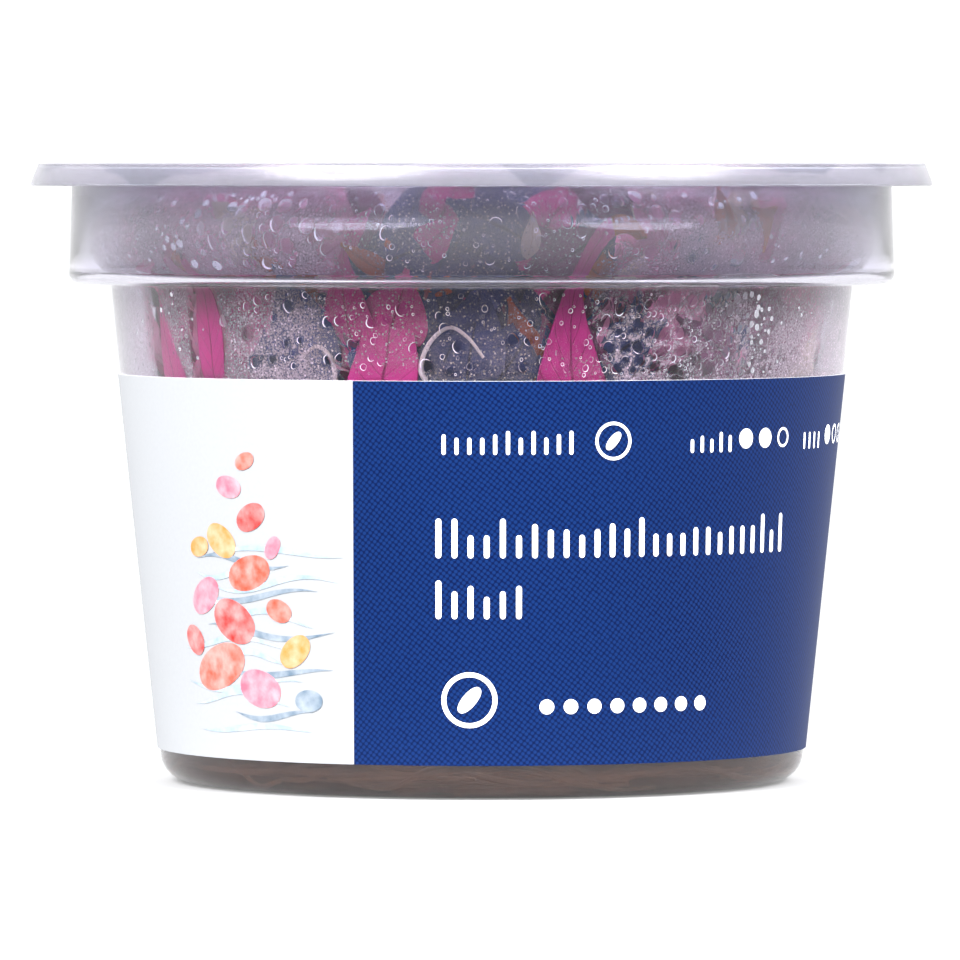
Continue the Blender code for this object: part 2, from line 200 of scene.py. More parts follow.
def makeStage():
    scene = bpy.context.scene
    data = bpy.data.cameras.new("camera")
    data.lens = stage["lens"]
    data.clip_end = 20
    camera = bpy.data.objects.new("camera", data)
    scene.collection.objects.link(camera)
    camera.location = Vector(stage["target"]) + around(0, stage["elevation"], stage["distance"])
    aim(camera, stage["target"])
    scene.camera = camera

    for name in ("key", "fill", "back"):
        azimuth, elevation, distance, size, watts = stage[name]
        data = bpy.data.lights.new(name, "AREA")
        data.shape = "DISK"
        data.size = size
        data.energy = watts
        light = bpy.data.objects.new(name, data)
        scene.collection.objects.link(light)
        light.location = around(azimuth, elevation, distance) + Vector((0, 0, 0.04))
        light.visible_glossy = False  # no round mirror image of it in the plastic
        aim(light, (0, 0, 0.04))

    world = bpy.data.worlds.new("studio")
    scene.world = world
    world.use_nodes = True
    tree = world.node_tree
    direction = addNode(tree, "TexCoord", {}, "Generated")
    height = addNode(tree, "SeparateXYZ", {0: direction}, 2)
    frontward = addNode(tree, "VectorMath", {0: direction, 1: (0, -1, 0)}, "Value", operation="DOT_PRODUCT")
    behind, sides, front = stage["behind"], stage["sides"], stage["front"]
    rear = addNode(tree, "MapRange", {0: frontward, 1: -0.6, 2: 0.0, 3: behind, 4: sides}, **eased)
    low = addNode(tree, "MapRange", {0: frontward, 1: 0.2, 2: 0.6, 3: 1.0, 4: front / sides}, **eased)
    walls = addNode(tree, "Math", {0: rear, 1: low}, operation="MULTIPLY")
    roof = addNode(tree, "MapRange", {0: height, 1: 0.45, 2: 0.75}, **eased)
    studio = addNode(tree, "Mix", {0: roof, 2: walls, 3: stage["overhead"]}, data_type="FLOAT")
    seen = addNode(tree, "LightPath", {}, "Is Camera Ray")
    strength = addNode(tree, "Mix", {0: seen, 2: studio, 3: stage["backdrop"]}, data_type="FLOAT")
    wire(tree, tree.nodes["Background"], {"Color": (0.985, 0.99, 1.0, 1), "Strength": strength})

    form = bmesh.new()
    bmesh.ops.create_circle(form, cap_ends=True, segments=96, radius=stage["floorRadius"])
    bmesh.ops.translate(form, verts=form.verts, vec=(0, 0, -0.0001))
    mesh = bpy.data.meshes.new("floor")
    form.to_mesh(mesh)
    form.free()
    floor = bpy.data.objects.new("floor", mesh)
    scene.collection.objects.link(floor)
    mesh.materials.append(matteBoard())

    scene.view_settings.view_transform = "Standard"
    cycles = scene.cycles
    cycles.max_bounces = 28
    cycles.transmission_bounces = 26
    cycles.diffuse_bounces = 4
    cycles.glossy_bounces = 8
    cycles.caustics_refractive = True
    cycles.caustics_reflective = False
    cycles.sample_clamp_indirect = 6.0


def matteBoard():  # opal acrylic table lit from below: matte white, so that shadows all but vanish on it
    return mottled("opalAcrylicTable", 1 / 3, 2.0, "#8a8a8c", "#8e8e8f", {
        "Roughness": 0.75, "Emission Color": (1, 1, 1, 1), "Emission Strength": stage["glow"]})[0]


# Cup and lid: the shared sizes, as the solids have them

cup = {
    "wall": 0.7, "footR": 37.55, "footZ": 3.0, "cornerR": 3.3, "ledgeR": 43.3, "ledgeZ": 58.0,
    "shoulderR": 48.2, "shoulderCornerR": 1.2, "shoulderTopR": 47.8, "rimR": 50.6,
    "rimUnderZ": 70.2, "rimTopZ": 70.95, "segments": 700, "step": 0.36,
}
lid = {
    "topZ": 72.0, "wall": 0.6, "topR": 51.8, "edgeR": 0.3, "skirtR": 52.6, "skirtZ": 69.4,
    "panelR": 40.0, "panelDrop": 0.8, "plugTopR": 43.8, "plugTopZ": 69.6, "plugWaistR": 44.3,
    "plugFootZ": 59.4, "plugBulge": 2.1,
}
gel = {"topZ": 12.0, "meniscus": 1.2, "reach": 3.0, "sunk": 0.12, "hollow": 2.4, "segments": 160}
wallSlope = (cup["ledgeR"] - cup["footR"]) / (cup["ledgeZ"] - cup["footZ"])


def wallOutside(height):
    return cup["footR"] + wallSlope * (height - cup["footZ"])


def wallInside(height):
    return wallOutside(min(height, cup["ledgeZ"])) - cup["wall"]


def plugOutside(height):
    share = min(max((lid["plugTopZ"] - height) / (lid["plugTopZ"] - lid["plugFootZ"]), 0), 1)
    straight = lid["plugTopR"] + (lid["plugWaistR"] - lid["plugTopR"]) * share
    return straight + lid["plugBulge"] * math.sin(math.pi * share)


def plugInside(height):
    return plugOutside(height) - lid["wall"]


fog = {  # how thick the fog is at an azimuth
    "window": [(-90, 0.5), (-66, 0.5), (-56, 0.9), (-36, 0.88), (-26, 0.84), (-18, 0.5), (10, 0.45), (18, 0.82),
               (38, 0.95), (50, 0.85), (90, 0.7)],
    "band": [(-90, 0.9), (-56, 1.1), (-25, 1.2), (-20, 0.5), (14, 0.45), (22, 0.95), (30, 1.2), (62, 1.2),
             (90, 0.9)],
    "behind": 0.6, "panel": 0.6,
    # a leaf nearer than this wipes the fog off, and it is back to full over the next stretch
    "wipedTo": 0.62, "fade": 0.45, "reach": 1.2,
}


def fogAt(place, azimuth):
    return fog["behind"] if abs(azimuth) > 90 else between(fog[place], azimuth)


def addMist(form, leafTree, drops, lowZ, highZ, surface, place):
    # mist is how thick the fog is on the inner face: none where a leaf is pressed on it, or under a drop
    layer = form.verts.layers.float.new("mist")
    for vert in form.verts:
        x, y, z = vert.co / mm
        radius = math.hypot(x, y)
        vert[layer] = 0.0
        if not lowZ <= z <= highZ or abs(radius - surface(z)) > 0.1:
            continue
        gap = (leafTree.find_nearest(vert.co, fog["reach"] * mm)[3] or fog["reach"] * mm) / mm
        azimuth = math.degrees(math.atan2(x, -y))
        unwiped = min(max((gap - fog["wipedTo"]) / fog["fade"], 0), 1)
        vert[layer] = unwiped * (1 - underDrop(drops, azimuth, z)) * fogAt(place, azimuth)


def addMilk(form, amount):  # where the plastic is thick or scuffed enough to look cloudy
    layer = form.verts.layers.float.new("milk")
    for vert in form.verts:
        vert[layer] = amount(math.hypot(vert.co.x, vert.co.y) / mm, vert.co.z / mm)


def makeCup(leafTree, drops):
    tilt = math.degrees(math.atan(wallSlope))
    wall, corner, step = cup["wall"], cup["cornerR"], cup["step"]
    cornerR = wallOutside(corner) - corner / math.cos(math.radians(tilt))
    floorEnd = arc(cornerR, corner, corner - wall, -90, -tilt, 6)
    throat = (wallInside(cup["ledgeZ"]), cup["ledgeZ"])
    ledge = (throat[0] + wall, cup["ledgeZ"] + wall)
    bendR = cup["shoulderCornerR"] - wall / 2
    insideR = cup["shoulderR"] - wall
    bend = arc(insideR - bendR, ledge[1] + bendR, bendR, -90, 0, 4)
    windowLow = (wallInside(46.5), 46.5)
    profile = [(0, wall), (20, wall)] + floorEnd
    profile += run(floorEnd[-1], windowLow, 6.0)[1:] + run(windowLow, throat, step) + [throat, ledge] + bend
    profile += run(bend[-1], (cup["shoulderTopR"] - wall, cup["rimUnderZ"]), 2.0)[1:]
    profile += [(cup["shoulderTopR"] - wall, cup["rimUnderZ"])]
    profile += arc(cup["shoulderTopR"] - wall + 0.2, cup["rimTopZ"] - 0.2, 0.2, 180, 90, 3)
    profile += arc(cup["rimR"] - 0.2, cup["rimTopZ"] - 0.2, 0.2, 90, 0, 3)
    profile += arc(cup["rimR"] - 0.2, cup["rimUnderZ"] + 0.2, 0.2, 0, -90, 3)
    profile += arc(cup["shoulderTopR"] + 0.3, cup["rimUnderZ"] - 0.3, 0.3, 90, 180, 3)
    footR = cup["shoulderR"] - cup["shoulderCornerR"]
    profile += arc(footR, cup["ledgeZ"] + cup["shoulderCornerR"], cup["shoulderCornerR"], 0, -90, 6)
    profile += arc(cup["ledgeR"] + 0.4, cup["ledgeZ"] - 0.4, 0.4, 90, 180, 3)
    profile += arc(cornerR, corner, corner, -tilt, -90, 8)
    profile += [(20, 0), (0, 0)]
    form = turned(profile, cup["segments"])
    addMist(form, leafTree, drops, 47.0, cup["ledgeZ"] + 0.2, wallInside, "window")
    addMilk(form, lambda r, z: 1.0 if z > cup["rimUnderZ"] - 0.4 else 0.2 if r > cup["ledgeR"] - 0.3
            and cup["ledgeZ"] - 0.2 < z < cup["ledgeZ"] + 1.0 else 0.0)
    addPiece("clearCup", form, [mistedPlastic("mouldedPolypropylene", "#efedf7")], "cup_plastic", ["cup"])


def makeLid(leafTree, drops):
    wall, under = lid["wall"], lid["topZ"] - lid["wall"]
    slant = wall * math.tan(math.radians(45) / 2)
    heights = np.linspace(lid["plugTopZ"], lid["plugFootZ"], 30)
    lip = (plugOutside(lid["plugFootZ"]) + plugInside(lid["plugFootZ"])) / 2
    profile = [(0, lid["topZ"] - lid["panelDrop"]), (20, lid["topZ"] - lid["panelDrop"])]
    profile += arc(lid["panelR"] - 0.3, lid["topZ"] - lid["panelDrop"] + 0.3, 0.3, -90, -45, 2)
    profile += arc(lid["panelR"] + lid["panelDrop"] + 0.25, lid["topZ"] - 0.25, 0.25, 135, 90, 2)
    profile += [(46, lid["topZ"])]
    profile += arc(lid["topR"] - lid["edgeR"], lid["topZ"] - lid["edgeR"], lid["edgeR"], 90, 17, 4)
    profile += arc(lid["skirtR"] - 0.3, lid["skirtZ"] + 0.3, 0.3, 0, -180, 6)
    profile += arc(lid["topR"] - wall - 0.3, under - 0.3, 0.3, 17, 90, 3)
    profile += arc(lid["plugTopR"] + 0.4, under - 0.4, 0.4, 90, 180, 3)
    profile += [(plugOutside(z), z) for z in heights]
    profile += arc(lip, lid["plugFootZ"], wall / 2, 0, -180, 4)[1:-1]
    profile += [(plugInside(z), z) for z in reversed(heights)]
    profile += [(lid["plugTopR"] - wall, under), (lid["panelR"] + lid["panelDrop"] + slant, under)]
    profile += [(lid["panelR"] + slant, under - lid["panelDrop"])]
    profile += [(r, under - lid["panelDrop"]) for r in range(38, -1, -2)]
    form = turned(profile, cup["segments"])
    addMilk(form, lambda r, z: 1.0 if r > lid["plugTopR"] + 0.6 and z > lid["plugTopZ"] - 0.3 else 0.0)
    addMist(form, leafTree, drops, lid["plugFootZ"] - 0.05, lid["plugTopZ"] + 0.05, plugInside, "band")
    layer = form.verts.layers.float["mist"]
    for vert in form.verts:
        if abs(vert.co.z / mm - under + lid["panelDrop"]) < 0.05:
            vert[layer] = fog["panel"]
    addPiece("clearLid", form, [mistedPlastic("mouldedLidPlastic", "#e4e1ee")], "lid_plastic", ["lid"])


def mistedPlastic(name, tint):
    # Clear polypropylene, injection moulded: faintly lilac, glossy outside with a slight ripple, and cloudy
    # at its thick rims. Its inner face is fogged: a thin milky veil, and beads too small to model, each
    # painted as a bright speck or ring, a painted highlight made by whiter, less clear plastic.
    material, tree, shader = newMaterial(name)
    place = addNode(tree, "TexCoord", {}, "Object")
    mist = addNode(tree, "Attribute", {}, "Fac", attribute_name="mist")
    milk = addNode(tree, "Attribute", {}, "Fac", attribute_name="milk")
    cloud = addNode(tree, "TexNoise", {"Vector": place, "Scale": 1 / (9 * mm), "Detail": 3.0})
    patch = addNode(tree, "MapRange", {0: cloud, 1: 0.35, 2: 0.65, 3: 0.75, 4: 1.1})
    veil = addNode(tree, "Math", {0: mist, 1: patch}, operation="MULTIPLY")
    paintedSpecks = None
    # painted highlights: the beads' bright rings and specks, as rings of cells in two sizes
    for size, share, inner in ((0.38, 0.3, 0.13), (0.20, 0.0, 0.03)):
        cells = addNode(tree, "TexVoronoi", {"Vector": place, "Scale": 1 / (size * mm)}, "all", feature="F1")
        chosen = addNode(tree, "SeparateColor", {0: cells["Color"]})
        present = addNode(tree, "MapRange", {0: chosen, 1: share, 2: 0.9, 3: 0.0, 4: 1.0})
        away = cells["Distance"]
        outer = addNode(tree, "MapRange", {0: away, 1: inner + 0.12, 2: inner + 0.2, 3: 1.0, 4: 0.0}, **eased)
        hole = addNode(tree, "MapRange", {0: away, 1: inner - 0.06, 2: inner + 0.02}, **eased)
        bead = addNode(tree, "Math", {0: outer, 1: hole}, operation="MULTIPLY")
        bead = addNode(tree, "Math", {0: bead, 1: present}, operation="MULTIPLY")
        paintedSpecks = bead if paintedSpecks is None else addNode(tree, "Math", {0: paintedSpecks, 1: bead}, operation="MAXIMUM")
    fine = addNode(tree, "Math", {0: mist, 1: 0.5}, operation="POWER")
    paintedSpecks = addNode(tree, "Math", {0: paintedSpecks, 1: fine}, operation="MULTIPLY")
    ripple = addNode(tree, "TexNoise", {"Vector": place, "Scale": 1 / (14 * mm), "Detail": 1.0})
    flow = addNode(tree, "Bump", {"Strength": 0.05, "Distance": 0.6 * mm, "Height": ripple})
    film = addNode(tree, "MapRange", {0: veil, 3: 0.02, 4: 0.26})
    rough = addNode(tree, "Math", {0: milk, 1: 0.16, 2: film}, operation="MULTIPLY_ADD")
    grain = addNode(tree, "TexNoise", {"Vector": place, "Scale": 1 / (0.22 * mm), "Detail": 2.0})
    coarse = addNode(tree, "MapRange", {0: grain, 1: 0.36, 2: 0.64, 3: 0.4, 4: 1.4})
    thick = addNode(tree, "Math", {0: veil, 1: 2.0}, operation="POWER")
    thick = addNode(tree, "Math", {0: thick, 1: coarse}, operation="MULTIPLY")
    clear = addNode(tree, "MapRange", {0: thick, 3: 1.0, 4: 0.4})
    cloudy = addNode(tree, "Math", {0: milk, 1: -0.13, 2: clear}, operation="MULTIPLY_ADD")
    # the painted specks take clearness away, so they show as white
    share = addNode(tree, "Math", {0: paintedSpecks, 1: -0.8, 2: cloudy}, operation="MULTIPLY_ADD", use_clamp=True)
    level = addNode(tree, "Mapping", {"Vector": place, "Scale": (1, 1, 0)})
    lobes = addNode(tree, "TexNoise", {"Vector": level, "Scale": 1 / (14 * mm), "Detail": 1.0})
    height = addNode(tree, "SeparateXYZ", {0: place}, 2)
    depth = addNode(tree, "MapRange", {0: height, 1: lid["topZ"] * mm, 2: lid["skirtZ"] * mm, 3: 0.48, 4: 0.70})
    hang = addNode(tree, "Math", {0: lobes, 1: depth}, operation="SUBTRACT")
    blotch = addNode(tree, "MapRange", {0: hang, 1: 0.0, 2: 0.02}, **eased)
    blotch = addNode(tree, "Math", {0: blotch, 1: milk}, operation="MULTIPLY")
    fogged = mixColours(tree, veil, linear(tint), linear("#e8d0e0"))
    body = mixColours(tree, milk, fogged, linear("#cccad6"))
    colour = mixColours(tree, blotch, body, linear("#b6b6c4"))
    wire(tree, shader, {"Base Color": colour, "Roughness": rough, "Transmission Weight": share,
                        "IOR": 1.49, "Normal": flow})
    return material


# Condensed drops: dealt out over a fogged surface, the largest first, each clear of the ones before it

cellSize = 2.0  # drops are looked up by square cells
dropSets = {
    # a drop is kept wherever it fits between honeycomb's two azimuths, and in this share of tries elsewhere
    "window": {"low": 47.9, "high": 57.6, "tries": 9000, "smallest": 0.15, "largest": 0.8, "skew": 3.0,
               "seed": 11, "honeycomb": (14, 56), "elsewhere": 0.13},
    "band": {"low": 59.9, "high": 69.2, "tries": 4200, "smallest": 0.16, "largest": 1.0, "skew": 4.2,
             "seed": 12, "honeycomb": (-66, -22), "elsewhere": 0.3},
    "panel": {"tries": 1500, "smallest": 0.2, "largest": 1.3, "skew": 2.6, "seed": 13, "reach": 38.5},
}
water = {
    # a drop's form: how deep it sits, how high it stands for its radius, and how flat its top is; drops that
    # face sideways are shallower and smaller
    "sunk": 0.03, "height": (0.34, 0.52), "plateau": 4.6, "lumps": (0.10, 0.07), "stretch": 1.12, "sharp": 50,
    "shallower": [(0, 1), (24, 1), (50, 0.3), (90, 0.3)], "reachTo": [(0, 1), (38, 1), (52, 0.4), (180, 0.4)],
    # points round and up: small ones are made coarser
    "small": 0.27, "middling": 0.55, "coarse": (8, 3), "fine": (10, 4), "finest": (14, 4),
    # the bright rim, a painted highlight: a whole ring on drops under a radius, else a crescent towards an
    # angle, its spread, and its strength by facing
    "ringBelow": 0.42, "glintSide": (190, 50), "ringTo": [(0, 1), (34, 1), (48, 0.4), (90, 0.3)],
    # room between drops, between a drop and a leaf, and the fog that a drop has taken up
    "spacing": 0.97, "centreIn": 0.3, "offLeaf": (0.75, 0.25), "clearedTo": 1.05, "clearedFade": 0.3,
}


def reachAt(azimuth):  # the share of its size that a drop keeps towards the sides
    return between(water["reachTo"], abs(azimuth))


def densityAt(rule, azimuth):
    low, high = rule["honeycomb"]
    edge = min(max((azimuth - low) / 8, 0), 1) * min(max((high - azimuth) / 8, 0), 1)
    return rule["elsewhere"] + (1 - rule["elsewhere"]) * edge


def nearby(drops, u, v):
    column, row = math.floor(u / cellSize), math.floor(v / cellSize)
    for i in (column - 1, column, column + 1):
        for j in (row - 1, row, row + 1):
            yield from drops["cells"].get((i, j), [])


def hasRoom(drops, u, v, radius):
    return all(math.dist((u, v), (a, b)) > (radius + r) * water["spacing"] for a, b, r in nearby(drops, u, v))


def keep(drops, u, v, radius):
    drops["cells"].setdefault((math.floor(u / cellSize), math.floor(v / cellSize)), []).append((u, v, radius))
    drops["all"].append((u, v, radius))


def underDrop(drops, azimuth, height):
    u = math.radians(azimuth) * drops["radius"]
    found = max((min((water["clearedTo"] * r - math.dist((u, height), (a, b))) / water["clearedFade"] + 0.5, 1)
                 for a, b, r in nearby(drops, u, height)), default=0)
    return max(found, 0)


def dropSizes(rule, deal):  # largest first; a high skew makes most of them small
    span = rule["largest"] - rule["smallest"]
    sizes = [rule["smallest"] + span * deal.random() ** rule["skew"] for _ in range(rule["tries"])]
    return sorted(sizes, reverse=True)


def dealDrops(rule, surface, leafTree):  # u runs round the surface and v up it
    deal = random.Random(rule["seed"])
    drops = {"cells": {}, "all": [], "radius": surface((rule["low"] + rule["high"]) / 2)}
    for radius in dropSizes(rule, deal):
        azimuth = deal.uniform(-180, 180)
        radius *= reachAt(azimuth)
        v = deal.uniform(rule["low"] + radius, rule["high"] - radius)
        u = math.radians(azimuth) * drops["radius"]
        if deal.random() > densityAt(rule, azimuth) or not hasRoom(drops, u, v, radius):
            continue
        centre = polar(surface(v) - water["centreIn"] * radius, azimuth, v)
        share, least = water["offLeaf"]
        if leafTree.find_nearest(centre, (share * radius + least) * mm)[0]:
            continue
        keep(drops, u, v, radius)
    return drops


def dealPanelDrops(rule):
    deal = random.Random(rule["seed"])
    drops = {"cells": {}, "all": []}
    for radius in dropSizes(rule, deal):
        distance, azimuth = rule["reach"] * math.sqrt(deal.random()), deal.uniform(0, math.tau)
        u, v = distance * math.cos(azimuth), distance * math.sin(azimuth)
        if hasRoom(drops, u, v, radius):
            keep(drops, u, v, radius)
    return drops


def dome(aroundCount, rings):  # half a sphere with a flat back, as points and faces
    form = bmesh.new()
    bmesh.ops.create_uvsphere(form, u_segments=aroundCount, v_segments=2 * rings, radius=1.0)
    bmesh.ops.bisect_plane(form, geom=form.verts[:] + form.edges[:] + form.faces[:], dist=1e-5,
                           plane_co=(0, 0, 0), plane_no=(0, 0, -1), clear_outer=True)
    rim = [edge for edge in form.edges if edge.is_boundary]
    bmesh.ops.edgeloop_fill(form, edges=rim)
    bmesh.ops.recalc_face_normals(form, faces=form.faces)
    form.verts.index_update()
    points = np.array([vert.co[:] for vert in form.verts])
    faces = [[vert.index for vert in face.verts] for face in form.faces]
    form.free()
    return points, faces


def slant(out):  # how far round from the front a drop faces
    return abs(math.degrees(math.atan2(-out[0], out[1]))) if math.hypot(out[0], out[1]) > 0.5 else 0


def addDrops(name, drops, placeOf):
    # placeOf(u, v) gives the drop's centre, its two directions on the surface and its way out, in millimetres
    shape = random.Random(len(drops["all"]))
    domes = [dome(*water[grade]) for grade in ("coarse", "fine", "finest")]
    points, faces, paintedRimGlints, count = [], [], [], 0
    for u, v, radius in drops["all"]:
        form, cells = domes[0 if radius < water["small"] else 1 if radius < water["middling"] else 2]
        centre, sideways, upwards, out = placeOf(u, v)
        angle = np.arctan2(form[:, 1], form[:, 0])
        lumps = 1 + sum(size * math.sqrt(radius) * np.sin(k * angle + shape.uniform(0, math.tau))
                        for size, k in zip(water["lumps"], (2, 3)))
        flat = form[:, :2] * (radius * lumps)[:, None]
        flat[:, 1] *= water["stretch"]
        level = np.sqrt(np.maximum(1 - np.hypot(form[:, 0], form[:, 1]) ** water["plateau"], 0))
        facing = min(slant(out), 90)
        steep = shape.uniform(*water["height"]) * between(water["shallower"], facing)
        rise = level * radius * steep * (1 - 0.2 * form[:, 1]) - water["sunk"]
        points.append(centre + flat[:, :1] * sideways + flat[:, 1:] * upwards + rise[:, None] * out)
        faces += [[count + i for i in cell] for cell in cells]
        count += len(form)
        # the rim attribute carries a painted highlight: a bright ring, or on larger drops a crescent, at each
        # drop's edge
        heights = np.unique(form[:, 2].round(4))
        edge = (form[:, 2].round(4) == heights[1]).astype(float)
        bright = math.radians(shape.gauss(*water["glintSide"]))
        crescent = np.clip(0.35 + np.cos(angle - bright), 0, 1)
        paintedGlintStrength = between(water["ringTo"], facing) * shape.uniform(0.5, 1)
        paintedRimGlints.append(edge * (crescent if radius > water["ringBelow"] else 1) * paintedGlintStrength)
    mesh = bpy.data.meshes.new(name)
    mesh.from_pydata(np.concatenate(points) * mm, [], faces)
    rim = mesh.attributes.new("rim", "FLOAT", "POINT")
    rim.data.foreach_set("value", np.concatenate(paintedRimGlints).astype(np.float32))
    mesh.materials.append(condensedWater())
    mesh.shade_smooth()
    mesh.set_sharp_from_angle(angle=math.radians(water["sharp"]))
    piece = bpy.data.objects.new(name, mesh)
    bpy.context.scene.collection.objects.link(piece)
    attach(piece, "root")


def onWall(surface, meanRadius):
    def placeOf(u, v):
        turn, step = u / meanRadius, 0.2
        slope = (surface(v + step) - surface(v - step)) / (2 * step)
        size = math.hypot(1, slope)
        outward = np.array([math.sin(turn), -math.cos(turn), 0])
        upward = np.array([0, 0, 1.0])
        sideways = np.array([math.cos(turn), math.sin(turn), 0])
        return (outward * surface(v) + upward * v, sideways, (outward * slope + upward) / size,
                (upward * slope - outward) / size)
    return placeOf


def underPanel(u, v):
    height = lid["topZ"] - lid["wall"] - lid["panelDrop"]
    return np.array([u, v, height]), np.array([1.0, 0, 0]), np.array([0, -1.0, 0]), np.array([0, 0, -1.0])


def condensedWater():  # clean water: a see-through lens, with a painted highlight, white and glowing, on its rim
    found = bpy.data.materials.get("condensedWater")
    if found:
        return found
    material, tree, shader = newMaterial("condensedWater")
    rim = addNode(tree, "Attribute", {}, "Fac", attribute_name="rim")
    # painted highlight: where the rim attribute is high the water turns white and less clear, and glows
    edge = addNode(tree, "MapRange", {0: rim, 1: 0.3, 2: 0.75, 3: 1.0, 4: 0.05}, **eased)
    glint = addNode(tree, "MapRange", {0: rim, 1: 0.35, 2: 0.8, 3: 0.0, 4: 1.0}, **eased)
    wire(tree, shader, {"Base Color": linear("#fbfbfe"), "Roughness": 0.0, "Transmission Weight": edge,
                        "IOR": 1.333, "Emission Color": linear("#fff6fa"), "Emission Strength": glint})
    return material


# Plantlets: the same rule as the solids, with finer rows, veins and waved margins

# azimuth, distance from the axis, stem height over the gel, turn of the first pair, number of pairs
plantlets = [
    (-52, 29.0, 40, 20, 3), (-17, 29.5, 41, 75, 3), (16, 29.0, 39, 40, 3), (51, 29.5, 44, 80, 3),
    (96, 29.0, 40, 30, 2), (141, 29.5, 42, 60, 2), (-174, 29.0, 39, 15, 2), (-116, 29.5, 41, 50, 2),
]
# share of the stem's height, length, width, start pitch, end pitch
leafPairs = [(0.45, 21.0, 7.0, 35, 72), (0.74, 21.0, 7.8, 48, 85), (0.97, 18.5, 7.0, 64, 98)]
# facing, foot height, length, width, start pitch, end pitch, lean, lean at the tip
wallLeaves = {
    (1, 3): (-70, 38.0, 25.0, 7.6, 34, 92, -10, 0),
    (1, 4): (-32, 40.5, 26.0, 7.2, 38, 92, -8, -20),
    (2, 3): (-10, 38.0, 25.0, 9.0, 38, 98, 0, 30),
    (3, 3): (-8, 38.5, 43.0, 12.5, 38, 92, 10, 175),
    (4, 5): (36, 55.5, 25.0, 6.2, 86, -85, -2, -2),
}
stem = {"radius": 1.1, "tip": 0.7, "lean": 4.0, "sway": 3.0, "sunk": 4.2}
leaf = {
    "thick": 0.3, "youngThick": 0.2, "fold": 0.16, "clear": 0.45, "across": 6, "rows": 22, "frames": 24,
    "wave": 0.28, "waves": 3.2, "calm": 0.3, "round": 0.02, "flatTo": 0.14, "groove": 0.10, "grooveHalf": 0.14,
    "through": 0.3, "driedFrom": 0.86, "pressedFrom": 0.30, "pressedOver": 0.16, "boxOff": 0.3, "sharp": 70,
}
curled, hooked = (4, 5), (3, 3)
# how narrow a leaf on the wall looks, edge on, and how far it stands off the wall along its length
narrowed = {(1, 3): 0.74, (1, 4): 0.66, (2, 3): 0.95, (3, 3): 0.74}
standOff = {
    (1, 3): [(0, 0), (1, 0)], (1, 4): [(0, 0), (1, 0)], (3, 3): [(0, 0.9), (0.36, 0.8), (0.46, 0.1), (1, 0)],
    (2, 3): [(0, 0), (0.56, 0), (0.64, 1.0), (1, 1.2)],
}
# their outlines: bias, power and the width left at the tip
outlines = {(1, 3): (0.8,), (1, 4): (1.5, 0.9, 0.3), (2, 3): (1.1, 0.8), (3, 3): (0.52, 2.7, 0.24)}

turns = [0, 6, -6, 12, -12, 20, -20, 30, -30, 42, -42, 56, -56]
tilts = [0, 8, -8, 16, -16]


def stemPoint(plantlet, share):
    azimuth, distance, height = plantlets[plantlet - 1][:3]
    sway = stem["sway"] * math.sin(math.pi * share) * (1 if plantlet % 2 else -1)
    return polar(distance + stem["lean"] * share * share, azimuth + sway, gel["topZ"] + height * share)


def uneven(count):
    return math.sin(1.3 * count * count)


def leafSpecs():  # (plantlet, number, foot, facing, length, width, pitch, end pitch, lean, end lean)
    specs = []
    for plantlet, (azimuth, _, height, turn, count) in enumerate(plantlets, 1):
        for pair, (share, length, width, pitch, endPitch) in enumerate(leafPairs[-count:]):
            for side in (0, 1):
                number = 2 * pair + side + 1
                vary = uneven(2 * plantlet + number)
                if (plantlet, number) in wallLeaves:
                    facing, foot, *form = wallLeaves[plantlet, number]
                    specs.append((plantlet, number, foot, facing, *form))
                else:
                    specs.append((plantlet, number, gel["topZ"] + height * share + 0.8 * side,
                                  azimuth + turn + 90 * pair + 180 * side, length * (1 + 0.12 * vary),
                                  width * (1 + 0.15 * uneven(plantlet + 3 * number)), pitch,
                                  endPitch + 12 * vary, 0, 18 * vary))
    return specs


def bladeWidth(share, bias=0.85, power=1.15, tip=0.08):  # a low bias puts the widest place near the foot
    blade = math.sin(math.pi * share**bias) ** power if 0 < share < 1 else 0
    return max(blade, 0.16 if share < 0.5 else tip)


def inside(height):  # the free radius: the cup's wall, then past its ledge the lid's plug ring
    share = min(max((height - cup["ledgeZ"]) / (lid["plugFootZ"] - cup["ledgeZ"]), 0), 1)
    return wallInside(height) * (1 - share) + plugInside(height) * share


def pressedInside(point, clear, surface=inside):
    radius = math.hypot(point.x, point.y) / mm
    top = lid["topZ"] - lid["wall"] - lid["panelDrop"]
    height = min(max(point.z / mm, gel["topZ"] + gel["meniscus"] + clear), top - min(clear, 0.6))
    most = surface(height) - 0.1 - clear
    share = min(1, most / max(radius, 0.001))
    return Vector((point.x * share, point.y * share, height * mm))


def bladeFrames(start, facing, length, pitch, endPitch, lean, endLean, rows):
    outward = polar(1.0, facing, 0).normalized()
    sideways = Vector((-outward.y, outward.x, 0))
    frames, centre = [], start.copy()
    for i in range(rows + 1):
        along = i / rows
        rise = math.radians(pitch + (endPitch - pitch) * along**1.5)
        slant = math.radians(lean + (endLean - lean) * along**6)
        climb = outward * math.cos(rise) + Vector((0, 0, 1)) * math.sin(rise)
        heading = climb * math.cos(slant) + sideways * math.sin(slant)
        side = sideways * math.cos(slant) - climb * math.sin(slant)
        frames.append((centre.copy(), side, heading.cross(side)))
        centre += heading * length * mm / rows
    return frames


def framesOf(spec, turn, tilt):
    plantlet, _, foot, facing, length, _, pitch, endPitch, lean, endLean = spec
    share = min((foot - gel["topZ"]) / plantlets[plantlet - 1][2], 1.0)
    radius = stem["radius"] * (1 - (1 - stem["tip"]) * share)
    start = stemPoint(plantlet, share) + polar(radius + 0.4, facing + turn, 0)
    return bladeFrames(start, facing + turn, length, pitch + tilt, endPitch + tilt, lean, endLean,
                       leaf["frames"])


